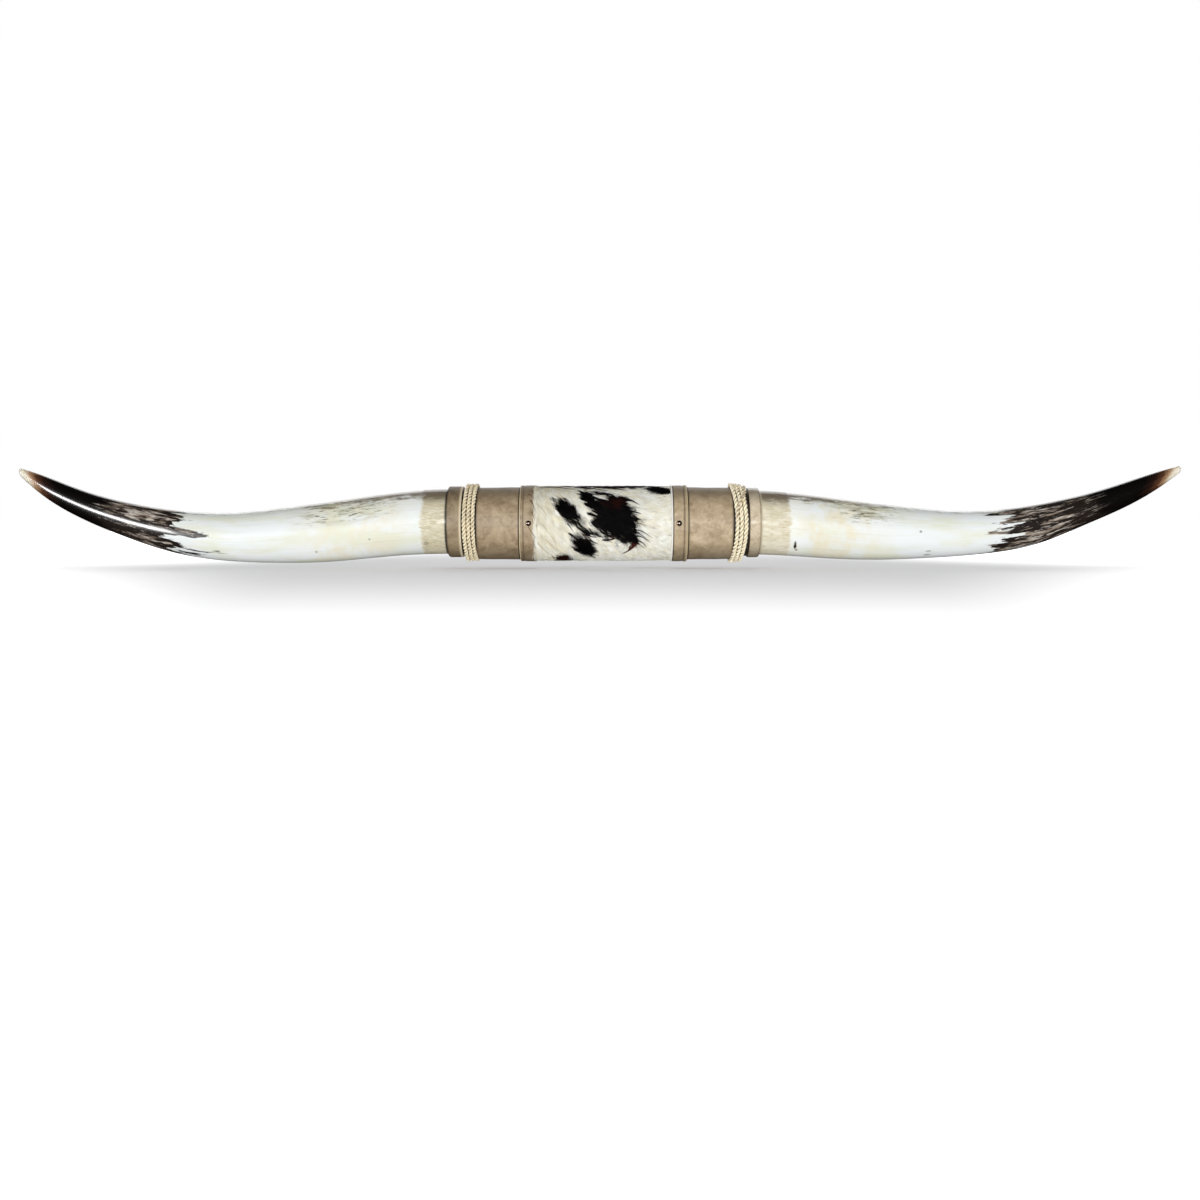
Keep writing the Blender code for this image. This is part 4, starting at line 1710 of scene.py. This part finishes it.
    def long_hair(self) -> Piece:
        """The longer wisps that lie over the coat.

        Returns:
            The wisps, joined in one piece.
        """
        draw = np.random.default_rng(self.seed + 40)
        count = self.hairs_a_wisp
        left = self.span()[0]
        corners, coats = [], []
        for wisp in self.wisps:
            start, bend, end = (np.array(place) for place in (wisp.start, wisp.bend, wisp.end))
            begin, finish = draw.uniform(0.0, 0.35, count), draw.uniform(0.72, 1.0, count)
            side, tone = draw.uniform(-1.0, 1.0, count), 1 + 0.12 * draw.standard_normal(count)
            tilt = 0.3 * self.hair_width * draw.uniform(-1.0, 1.0, count)
            rows = []
            for step in np.linspace(0.0, 1.0, self.wisp_steps):
                share = (begin + (finish - begin) * step)[:, None]
                place = (1 - share) ** 2 * start + 2 * share * (1 - share) * bend + share ** 2 * end
                course = unit((1 - share) * (bend - start) + share * (end - bend))
                aside = np.column_stack((-course[:, 1], course[:, 0]))
                place = place + aside * (side * wisp.width / 2 * (1 - share[:, 0]) ** 0.7)[:, None]
                height = self.hair_layer * (0.55 + 0.36 * np.sin(math.pi * min(step + 0.12, 0.8)))
                height = np.where(place[:, 0] < left, self.hair_layer, height)
                half = self.hair_width / 2 * (1 - step ** 3)
                for way in (-1, 1) if step < 1 else (0,):
                    at = place + aside * half * way
                    rows.append(self.onto(at[:, 0], at[:, 1], height + tilt * way * half / self.hair_width))
            corners.append(np.stack(rows, axis=1).reshape(-1, 3))
            coats.append(np.repeat(np.array(wisp.colour)[None, :] * tone[:, None], len(rows), axis=0))
        blades = self.blades(count * len(self.wisps), len(rows))
        piece = Bench.from_arrays("cowhide_long_hair", np.vstack(corners), blades)
        self.note_coat(piece, np.clip(np.vstack(coats), 0.0, 1.0))
        return piece

    def colour_hair(
        self, piece: Piece, draw: np.random.Generator, along: np.ndarray, around: np.ndarray,
        lock: np.ndarray, strand: np.ndarray, each: int,
    ) -> None:
        """Chooses each hair's colour from where it is seen and notes it at its corners.

        Args:
            piece: The hair.
            draw: The source of chance.
            along: Where each hair is seen along the core.
            around: Where each hair is seen around it.
            lock: The chances of each hair's lock.
            strand: The chances of each hair's strand.
            each: How many corners a hair has.
        """
        count = len(along)
        dark = self.darkness(along, around) + 0.13 * lock[:, 3] + 0.13 * strand[:, 3]
        dark += 0.04 * draw.standard_normal(count)
        is_dark = (dark > 0)[:, None]
        warm = 0.25 + 0.40 * lock[:, 4] + 0.35 * strand[:, 4] + 0.40 * ease(-along, 0.02, 0.07)
        warm = np.clip(warm, 0.0, 1.0)[:, None]
        calm = 1 - 0.55 * ease(along, 0.050, 0.085)
        shade = 0.10 * lock[:, 5] + 0.16 * strand[:, 5] + 0.04 * draw.standard_normal(count)
        pale = np.array(self.white) * (1 - warm) + np.array(self.cream) * warm
        pale = pale * (0.94 + shade * calm)[:, None]
        red = ease(self.redness(along, around) + 0.3 * lock[:, 2], 0.25, 0.85)[:, None]
        deep = np.array(self.black) * (1 - red) + np.array(self.maroon) * red
        root = np.where(is_dark, deep, pale)
        tan = is_dark & ((dark < 0.10) & (draw.uniform(0, 1, count) < 0.25))[:, None]
        tip = np.where(tan, np.array(self.tawny), root * np.where(is_dark, 1.1, 1.06))
        # Painted shade: white hair is darker towards its root, under the coat.
        base = root * np.where(is_dark, 1.0, 0.78)
        rows = []
        for share in np.repeat(np.linspace(0.0, 1.0, (each + 1) // 2), 2)[:each]:
            risen = min(share * 3, 1.0)
            rows.append((base * (1 - risen) + root * risen) * (1 - share ** 2) + tip * share ** 2)
        self.note_coat(piece, np.clip(np.stack(rows, axis=1).reshape(-1, 3), 0.0, 1.0))

    @staticmethod
    def redness(along: np.ndarray, around: np.ndarray) -> np.ndarray:
        """Where the dark hair has a red cast.

        Args:
            along: Places along the core.
            around: Places around it.

        Returns:
            The share of red, about 0 to 1.
        """
        near = 0.8 * np.exp(-(((along - 0.017) / 0.014) ** 2 + ((around - 0.031) / 0.010) ** 2))
        low = np.exp(-(((along + 0.048) / 0.014) ** 2 + ((around + 0.058) / 0.012) ** 2))
        return near + low

    def cut_edge(self) -> Piece:
        """The hide's pale cut edge beside the right strap.

        Returns:
            The edge.
        """
        right = self.span()[1]
        low, top = 0.0004, self.hair_layer - 0.0003
        profile = (
            (0.0026, low), (0.0024, top - 0.0006), (0.0016, top), (0.0007, top), (0.0002, top - 0.0006),
            (0.0002, low),
        )
        rings = [self.ring(right - inset, height) for inset, height in profile]
        piece = Bench.grow("cowhide_cut_edge", rings, 160, RingEnds.TUBE)
        Bench.smooth(piece, 60)
        self.note_coat(piece, np.tile(np.array(self.cut), (len(piece.data.vertices), 1)))
        return piece

    def dress(self) -> None:
        """Builds, finishes and hands over the skin and the hair."""
        Bench.hand_over(self.skin(), self.skin_finish, "cowhide", "cowhide_wrap")
        Bench.hand_over(self.cut_edge(), self.skin_finish, "cowhide")
        for patch in range(len(self.patches)):
            Bench.hand_over(self.hair(patch), self.hair_finish, "cowhide")
        Bench.hand_over(self.long_hair(), self.hair_finish, "cowhide")


@dataclass
class Fastener:
    """A turned head on a shank: a tack, or a screw with a cross recess, that replaces its plain node."""

    node: str
    name: str
    finish: Paint
    slot: str
    head_radius: float
    head_height: float
    shank_radius: float
    recess: float = 0.0
    rim: float = 0.10
    crown: float = 26.0
    sides: int = 40

    def build(self) -> Piece:
        """Turns the fastener where its node is, head outwards.

        Returns:
            The fastener.
        """
        low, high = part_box(self.node)
        middle = (low + high) / 2
        forward = -1.0 if middle[1] < AXIS_Y else 1.0
        top = high[1] if forward > 0 else low[1]
        point = low[1] if forward > 0 else high[1]
        length = abs(top - point)
        profile = [(0.0, self.head_radius * 0.03)]
        for degrees in (self.crown, 34, 44, 54, 68, 80):
            turn = math.radians(degrees)
            down = self.head_height * (math.cos(math.radians(self.crown)) - math.cos(turn)) * (1 - self.rim)
            profile.append((down + self.head_height * 0.02, self.head_radius * math.sin(turn) * 0.97))
        profile += [
            (self.head_height * (1 - self.rim), self.head_radius * 0.99),
            (self.head_height * 0.97, self.head_radius),
            (self.head_height, self.head_radius * 0.97), (self.head_height, self.shank_radius),
            (length * 0.85, self.shank_radius), (length, self.shank_radius * 0.15),
        ]
        rings = [Ring(x=down, y=0.0, z=0.0, depth=radius, height=radius) for down, radius in profile]
        piece = Bench.grow(self.name, rings, self.sides, RingEnds.CAPPED)
        if self.recess:
            self.cut_recess(piece)
        Bench.take(piece)
        piece.rotation_euler = (0.0, 0.0, -forward * math.pi / 2)
        piece.location = (middle[0], top, middle[2])
        Bench.settle(piece)
        Bench.smooth(piece, 35)
        return piece

    def cut_recess(self, piece: Piece) -> None:
        """Cuts the cross for the driver into the head.

        Args:
            piece: The screw.
        """
        for turn in (0.0, math.pi / 2):
            Bench.clear()
            bpy.ops.mesh.primitive_cube_add(size=1.0, location=(0.0, 0.0, 0.0), rotation=(turn, 0.0, 0.0))
            blade = bpy.context.object
            blade.scale = (self.head_height * 1.1, self.recess * 2.6, self.recess * 0.55)
            Bench.settle(blade)
            Bench.apply(piece, "BOOLEAN", operation="DIFFERENCE", object=blade)
            bpy.data.objects.remove(blade)

    def dress(self) -> None:
        """Builds, finishes and hands over the fastener."""
        Bench.hand_over(self.build(), self.finish, self.slot, self.node)


@dataclass
class Studio:
    """The plain pale stage, the soft light and the camera."""

    camera_distance: float = 1.80
    frame_width: float = 1.6015
    sensor: float = 36.0
    object_rise: float = 0.0639
    floor_z: float = -0.060
    dome_radius: float = 9.0
    floor_only: bpy.types.Collection = field(default_factory=lambda: bpy.data.collections.new("floor_only"))

    def camera(self) -> None:
        """Stands the camera level with the core, straight in front, and shifts the frame down."""
        place = (0.0, AXIS_Y - self.camera_distance, 0.0)
        bpy.ops.object.camera_add(location=place, rotation=(math.pi / 2, 0.0, 0.0))
        camera = bpy.context.object
        camera.name = "camera"
        camera.data.sensor_width = self.sensor
        camera.data.lens = self.sensor * self.camera_distance / self.frame_width
        camera.data.shift_y = -self.object_rise
        camera.data.clip_end = 60.0
        bpy.context.scene.camera = camera

    def backdrop(self) -> None:
        """Lays the floor and the dome behind everything, which only the camera sees."""
        Bench.clear()
        bpy.ops.mesh.primitive_circle_add(
            vertices=96, radius=self.dome_radius, fill_type="NGON", location=(0.0, 0.0, self.floor_z)
        )
        floor = bpy.context.object
        floor.name = "floor"
        paper = Recipe("floor_paper")
        across, along, _ = paper.parts(paper.place())
        # The floor glows less near the mount and more towards the sides and the front: a painted soft shadow
        # under the mount, over the real shadow from the top lamp.
        ahead = paper.maths("ABSOLUTE", along)
        aside = paper.times(paper.maths("ABSOLUTE", across), paper.plus(ahead, 1.0))
        away = paper.plus(paper.rise(aside, 0.46, 0.98), paper.rise(ahead, 0.30, 1.70))
        glow_with_painted_shadow = paper.plus(paper.times(away, 0.62), 0.24)
        floor.data.materials.append(paper.done(
            Base_Color=(0.56, 0.56, 0.57), Roughness=0.9, Specular_IOR_Level=0.1,
            Emission_Color=(1.0, 1.0, 1.0), Emission_Strength=glow_with_painted_shadow,
        ))
        floor.visible_diffuse = floor.visible_glossy = floor.visible_shadow = False
        self.floor_only.objects.link(floor)
        Bench.clear()
        bpy.ops.mesh.primitive_uv_sphere_add(segments=64, ring_count=32, radius=self.dome_radius)
        dome = bpy.context.object
        dome.name = "dome"
        sky = Recipe("dome_white")
        dome.data.materials.append(sky.done(
            Base_Color=(0.0, 0.0, 0.0), Roughness=1.0, Specular_IOR_Level=0.0,
            Emission_Color=(1.0, 1.0, 1.0), Emission_Strength=1.0,
        ))
        dome.visible_diffuse = dome.visible_glossy = dome.visible_transmission = dome.visible_shadow = False

    def lamp(
        self, name: str, place: Point, aim: Point, size: tuple[float, float], power: float
    ) -> Piece:
        """Hangs one soft rectangular light.

        Args:
            name: The light's name.
            place: Where it hangs.
            aim: What it faces.
            size: Its width and height.
            power: Its power in watts.

        Returns:
            The light.
        """
        bpy.ops.object.light_add(type="AREA", location=place)
        lamp = bpy.context.object
        lamp.name = name
        lamp.data.shape = "RECTANGLE"
        lamp.data.size, lamp.data.size_y = size
        lamp.data.energy = power
        lamp.rotation_euler = (Vector(aim) - Vector(place)).to_track_quat("-Z", "Y").to_euler()
        return lamp

    def light(self) -> None:
        """Sets the soft studio light."""
        world = bpy.data.worlds.new("studio")
        world.use_nodes = True
        glow = world.node_tree.nodes["Background"].inputs
        glow["Color"].default_value, glow["Strength"].default_value = (1.0, 1.0, 1.0, 1.0), 0.40
        world.cycles_visibility.glossy = False
        bpy.context.scene.world = world
        middle = (0.0, AXIS_Y, 0.0)
        self.lamp("front", (0.0, -2.3, 0.35), middle, (2.8, 0.8), 34.5).visible_glossy = False
        self.lamp("under", (0.0, -1.5, -0.9), middle, (2.8, 0.6), 14.0).visible_glossy = False
        self.lamp("back", (0.0, 2.2, 1.2), middle, (2.8, 1.9), 26.0)
        strip = self.lamp("strip", (-1.55, -1.75, 0.02), (-0.55, AXIS_Y, 0.02), (0.9, 0.50), 30.0)
        glint = self.lamp("glint", (0.0, -2.25, 0.0), middle, (0.9, 0.45), 12.0)
        strip.visible_diffuse = glint.visible_diffuse = False
        top = self.lamp("top", (0.0, -0.05, 2.1), middle, (2.6, 2.2), 6.0)
        top.light_linking.receiver_collection = self.floor_only
        bpy.context.scene.view_settings.view_transform = "Standard"

    def set_up(self) -> None:
        """Sets the whole studio up."""
        Bench.clear()
        self.camera()
        self.backdrop()
        self.light()


LEFT_STATIONS = (
    (0.135, 0.0005, 0.0000, 0.0840),
    (0.206, 0.0026, 0.0005, 0.0865),
    (0.266, -0.0006, 0.0020, 0.0843),
    (0.319, -0.0066, 0.0045, 0.0817),
    (0.371, -0.0122, 0.0075, 0.0789),
    (0.424, -0.0160, 0.0105, 0.0730),
    (0.476, -0.0181, 0.0140, 0.0656),
    (0.528, -0.0154, 0.0175, 0.0600),
    (0.580, -0.0068, 0.0210, 0.0524),
    (0.632, 0.0073, 0.0240, 0.0424),
    (0.684, 0.0263, 0.0270, 0.0340),
    (0.735, 0.0518, 0.0292, 0.0214),
    (TIP_REACH, 0.0680, 0.0300, 0.0080),
)
RIGHT_STATIONS = (
    (0.135, 0.0000, 0.0000, 0.0840),
    (0.214, 0.0010, 0.0005, 0.0854),
    (0.265, -0.0022, 0.0020, 0.0836),
    (0.318, -0.0073, 0.0045, 0.0800),
    (0.371, -0.0111, 0.0075, 0.0744),
    (0.423, -0.0130, 0.0105, 0.0672),
    (0.475, -0.0134, 0.0140, 0.0596),
    (0.527, -0.0098, 0.0175, 0.0556),
    (0.579, -0.0004, 0.0210, 0.0506),
    (0.631, 0.0156, 0.0240, 0.0394),
    (0.683, 0.0347, 0.0270, 0.0312),
    (0.735, 0.0580, 0.0292, 0.0184),
    (TIP_REACH, 0.0716, 0.0300, 0.0070),
)

# The hide's dark spots, as along and around the core, half length, half width and slant
SPOTS = (
    Spot(-0.0438, 0.0177, 0.0246, 0.0116, -48.0),
    Spot(-0.0225, -0.0312, 0.0220, 0.0120, -58.0),
    Spot(-0.0130, -0.0101, 0.0153, 0.0030, -22.0),
    Spot(-0.0205, -0.0112, 0.0085, 0.0040, -40.0),
    Spot(-0.0505, -0.0570, 0.0120, 0.0120, -15.0),
    Spot(0.0178, 0.0085, 0.0375, 0.0265, -42.0),
    Spot(0.0200, 0.0300, 0.0200, 0.0110, -20.0),
    Spot(0.0040, 0.0450, 0.0140, 0.0045, -12.0),
    Spot(-0.0182, 0.0394, 0.0143, 0.0090, -35.0),
    Spot(-0.0090, 0.0268, 0.0180, 0.0090, -35.0),
    Spot(0.0385, -0.0105, 0.0110, 0.0070, -30.0),
    Spot(0.0415, -0.0200, 0.0115, 0.0062, -60.0),
    Spot(0.0770, 0.0525, 0.0190, 0.0105, -12.0),
    Spot(0.0200, 0.0900, 0.0860, 0.0320, 0.0),
    Spot(-0.0300, -0.1300, 0.0400, 0.0200, -25.0),
    Spot(0.0620, -0.0950, 0.0260, 0.0170, -30.0),
)

# The longer wisps over the coat: their start, bend and end, each along and around the core, and their width
BLACK, WHITE = srgb(10, 8, 9), srgb(252, 252, 245)
BROWN, STRAW, HAIR_SHADOW_LINE = srgb(66, 32, 22), srgb(96, 82, 56), srgb(200, 190, 158)
WISPS = tuple(Wisp(row[:2], row[2:4], row[4:6], *row[6:]) for row in (
    (-0.0819, 0.0616, -0.0553, 0.0607, -0.0303, 0.0501, 0.0030, BLACK),
    (-0.0347, 0.0599, -0.0126, 0.0562, 0.0124, 0.048, 0.0034, BLACK),
    (-0.0097, 0.0607, 0.0139, 0.0599, 0.039, 0.0465, 0.0034, BLACK),
    (-0.0303, 0.0515, -0.02, 0.0385, -0.0038, 0.0336, 0.0040, BLACK),
    (-0.0273, 0.0355, -0.0156, 0.0273, -0.0008, 0.0252, 0.0040, BLACK),
    (-0.0215, 0.0264, -0.0097, 0.019, 0.0036, 0.0143, 0.0040, BLACK),
    (-0.0178, 0.0128, -0.0082, 0.0105, 0.0051, 0.0038, 0.0036, BLACK),
    (-0.0097, 0.0009, -0.0008, -0.0021, 0.0095, -0.008, 0.0036, BLACK),
    (-0.0008, -0.0095, 0.008, -0.014, 0.0198, -0.0203, 0.0034, BLACK),
    (0.0021, -0.0211, 0.0139, -0.0227, 0.0242, -0.0171, 0.0030, BLACK),
    (-0.0097, 0.0395, -0.0008, 0.0355, 0.0124, 0.0304, 0.0022, WHITE),
    (-0.0008, 0.0475, 0.0124, 0.045, 0.0286, 0.0364, 0.0016, WHITE),
    (0.0331, 0.0336, 0.0434, 0.0299, 0.0522, 0.0231, 0.0026, BLACK),
    (0.0375, 0.0159, 0.0463, 0.0143, 0.0549, 0.0116, 0.0030, BLACK),
    (0.036, 0.0053, 0.0448, 0.0038, 0.0522, 0.0061, 0.0024, BLACK),
    (0.0272, -0.0203, 0.0404, 0.0053, 0.0706, -0.0211, 0.0017, BLACK),
    (0.0286, -0.0156, 0.0478, -0.0021, 0.0677, -0.0278, 0.0015, BLACK),
    (0.0301, -0.0219, 0.0507, -0.008, 0.064, -0.0252, 0.0024, BLACK),
    (0.0331, -0.0269, 0.0522, -0.014, 0.0618, -0.0341, 0.0024, BLACK),
    (0.0286, -0.0269, 0.0448, -0.0171, 0.0596, -0.036, 0.0018, BLACK),
    (0.0257, -0.0252, 0.0375, -0.0171, 0.0522, -0.0252, 0.0024, BLACK),
    (0.0434, -0.0244, 0.0448, -0.0341, 0.0286, -0.045, 0.0034, BROWN),
    (0.039, -0.0295, 0.0412, -0.0391, 0.0257, -0.0446, 0.0026, BROWN),
    (0.0478, -0.0252, 0.0434, -0.0341, 0.0375, -0.036, 0.0028, BROWN),
    (-0.0303, -0.0043, -0.017, -0.014, 0.0021, -0.0163, 0.0022, BLACK),
    (-0.0273, -0.0065, -0.0097, -0.0235, 0.0036, -0.014, 0.0014, BLACK),
    (-0.0428, 0.0001, -0.0391, -0.0035, -0.034, -0.011, 0.0014, BLACK),
    (-0.0303, 0.0053, -0.0266, -0.0006, -0.0232, -0.0043, 0.0018, BLACK),
    (-0.0413, -0.0117, -0.0347, -0.0156, -0.0273, -0.0252, 0.0030, BLACK),
    (-0.0141, -0.0203, -0.0082, -0.0252, -0.0023, -0.0269, 0.0024, BLACK),
    (-0.0156, -0.0446, -0.0082, -0.0524, -0.005, -0.0555, 0.0018, BLACK),
    (-0.0347, -0.036, -0.0288, -0.038, -0.0215, -0.047, 0.0020, BLACK),
    (0.0566, 0.0634, 0.0758, 0.0625, 0.0935, 0.0501, 0.0034, BLACK),
    (0.0699, 0.0501, 0.0802, 0.0405, 0.0905, 0.0475, 0.0016, BLACK),
    (0.0743, 0.0475, 0.0832, 0.0395, 0.0935, 0.0439, 0.0012, BLACK),
    (-0.0919, 0.0311, -0.086, 0.0262, -0.0851, 0.0136, 0.0017, STRAW),
    (-0.0892, 0.0143, -0.0863, 0.0098, -0.0841, 0.0009, 0.0007, STRAW),
    (-0.0936, -0.0035, -0.0875, -0.014, -0.0816, -0.0203, 0.0006, STRAW),
    (-0.0951, 0.0405, -0.0892, 0.0385, -0.0855, 0.0326, 0.0010, STRAW),
    # Painted shade: thin tan lines between white locks.
    (-0.0819, -0.0252, -0.0715, -0.038, -0.0568, -0.0555, 0.0007, HAIR_SHADOW_LINE),
    (-0.0715, -0.0203, -0.0612, -0.0287, -0.0553, -0.0446, 0.0006, HAIR_SHADOW_LINE),
    (-0.0649, -0.0156, -0.0553, -0.0235, -0.059, -0.0341, 0.0006, HAIR_SHADOW_LINE),
    (-0.0819, 0.0256, -0.0715, 0.0143, -0.0598, -0.0035, 0.0005, HAIR_SHADOW_LINE),
    (-0.0774, 0.0009, -0.0686, -0.008, -0.0598, -0.0203, 0.0005, HAIR_SHADOW_LINE),
    (-0.0553, -0.0715, -0.048, -0.047, -0.0377, -0.0715, 0.0022, BROWN),
))

# How the coat lies, as along and around the core, and the heading in degrees
COAT_FLOW = (
    (-0.083, 0.038, -82.0), (-0.083, 0.0, -78.0), (-0.083, -0.042, -72.0),
    (-0.067, 0.018, -62.0), (-0.067, -0.029, -45.0), (-0.049, 0.031, -50.0),
    (-0.039, -0.002, -50.0), (-0.036, -0.040, -40.0), (-0.013, 0.031, -30.0),
    (-0.013, -0.009, -38.0), (0.0, -0.043, -35.0), (0.016, 0.031, -25.0),
    (0.020, -0.002, -32.0), (0.016, -0.040, -50.0), (0.042, 0.024, -12.0),
    (0.046, -0.002, -22.0), (0.044, -0.030, -70.0), (0.062, 0.038, -8.0),
    (0.065, 0.004, -8.0), (0.062, -0.030, -25.0), (0.085, 0.031, 0.0),
    (0.085, -0.022, -5.0), (0.0, 0.150, -30.0), (0.0, -0.100, -30.0),
)


def make_horns() -> dict[Side, Horn]:
    """Builds both horns.

    Returns:
        The horns by side.
    """
    left = Horn(Side.LEFT, LEFT_STATIONS, HornFinish(
        name="horn_left", seed=3.7, black_end=0.112, mottle_end=0.219, streak_length=0.25,
        cream_from=0.385, cream_to=0.505, cream_strength=0.75, speck_from=0.375, speck_to=0.480,
        base_from=0.5285, base_to=0.5611, highlight_from=0.560, tan=srgb(190, 180, 149), fringe=0.11, cloudy=0.2,
        low_reach=0.006, pale_top=0.045,
        marks=(
            Mark(0.534, -0.66, 0.004, 0.07, 0.35), Mark(0.391, -0.66, 0.002, 0.05, 0.4),
            Mark(0.461, -0.42, 0.002, 0.05, 0.4),
        ),
    ))
    right = Horn(Side.RIGHT, RIGHT_STATIONS, HornFinish(
        name="horn_right", seed=11.2, black_end=0.113, mottle_end=0.232, streak_length=0.28,
        cream_from=0.405, cream_to=0.520, cream_strength=0.85, speck_from=0.385, speck_to=0.445,
        base_from=0.5130, base_to=0.5514, highlight_from=0.498, rim=srgb(196, 186, 162),
        taupe=srgb(136, 122, 108), gloom=-0.022,
        marks=(
            Mark(0.5063, -0.68, 0.0025, 0.15, 1.0), Mark(0.5040, -0.80, 0.0034, 0.05, 1.0),
            Mark(0.344, 0.06, 0.0022, 0.06, 0.6), Mark(0.332, -0.72, 0.0055, 0.04, 0.5),
            Mark(0.332, -0.86, 0.006, 0.04, 0.5),
        ),
    ))
    horns = {Side.LEFT: left, Side.RIGHT: right}
    for horn in horns.values():
        horn.dress()
    return horns


def make_mount(horns: dict[Side, Horn]) -> None:
    """Builds everything between the horns.

    Args:
        horns: The horns by side, which the leather fits.
    """
    leather = LeatherFinish(
        "leather_left", light=srgb(178, 159, 130), middle=srgb(155, 135, 106), dark=srgb(122, 102, 76)
    ).make()
    taupe = LeatherFinish("leather_right", tilt=2.0, raw_edge=srgb(178, 160, 126)).make()
    pale = LeatherFinish(
        "leather_collar_right", light=srgb(216, 202, 178), middle=srgb(198, 182, 154),
        dark=srgb(164, 146, 118), polish=1.0, softness=0.16, tilt=7.0,
    ).make()
    olive = LeatherFinish(
        "leather_collar", light=srgb(158, 141, 111), middle=srgb(139, 121, 93), dark=srgb(112, 95, 71),
        raw_edge=srgb(222, 208, 178), tilt=4.0,
    ).make()
    straw = RopeFinish("rope_straw", crown=srgb(246, 236, 208), body=srgb(229, 211, 170)).make()
    bleached = RopeFinish(
        "rope_bleached", crown=srgb(255, 249, 226), body=srgb(250, 235, 196), gap=srgb(150, 122, 82)
    ).make()
    Wrapping(
        Side.LEFT, leather, olive, horns[Side.LEFT], collar_radius=0.0472, collar_rise=0.0020,
        fold_height=0.0001,
    ).dress()
    Wrapping(Side.RIGHT, taupe, pale, horns[Side.RIGHT], collar_radius=0.0464, collar_rise=0.0012).dress()
    RopeWinding(Side.LEFT, straw, radius=0.0490, rise=0.0012, seed=21).dress()
    RopeWinding(
        Side.RIGHT, bleached, radius=0.0484, rise=0.0006, seed=22, twist_length=0.0125, bow=0.0052,
        climb=0.0022, crossing=True,
    ).dress()
    skin = HairFinish("cowhide_skin_pale", 0.9).make()
    hair = HairFinish("cowhide_hair_coat", 0.55).make()
    Cowhide(skin, hair, SPOTS, COAT_FLOW, WISPS).dress()


def make_fittings() -> None:
    """Builds the tacks and screws, and finishes the plate and the core."""
    bronze = MetalFinish("tack_bronze", srgb(150, 136, 126), srgb(84, 69, 60), 0.10).make()
    zinc = MetalFinish("zinc_steel", srgb(196, 196, 190), srgb(158, 158, 154), 0.32, 260.0).make()
    wood = WoodFinish("core_wood").make()
    for side in Side:
        for face in ("front", "back"):
            node = f"{side.word}_tack_{face}"
            Fastener(node, f"{node}_domed", bronze, "tack", 0.0037, 0.0019, 0.0009).dress()
        node = f"{side.word}_hanger_screw"
        Fastener(node, f"{node}_head", zinc, "steel", 0.0036, 0.0014, 0.0018, recess=0.0014).dress()
    for node, paint in (("hanger_plate", zinc), ("wood_core", wood)):
        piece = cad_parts[node]
        piece.data.materials.clear()
        piece.data.materials.append(paint)
        LOG.info("%s keeps its shape", node)


def main() -> None:
    """Builds the studio and every piece."""
    logging.basicConfig(level=logging.INFO, format="%(message)s")
    Studio().set_up()
    horns = make_horns()
    make_mount(horns)
    make_fittings()


if __name__ == "__main__":
    main()
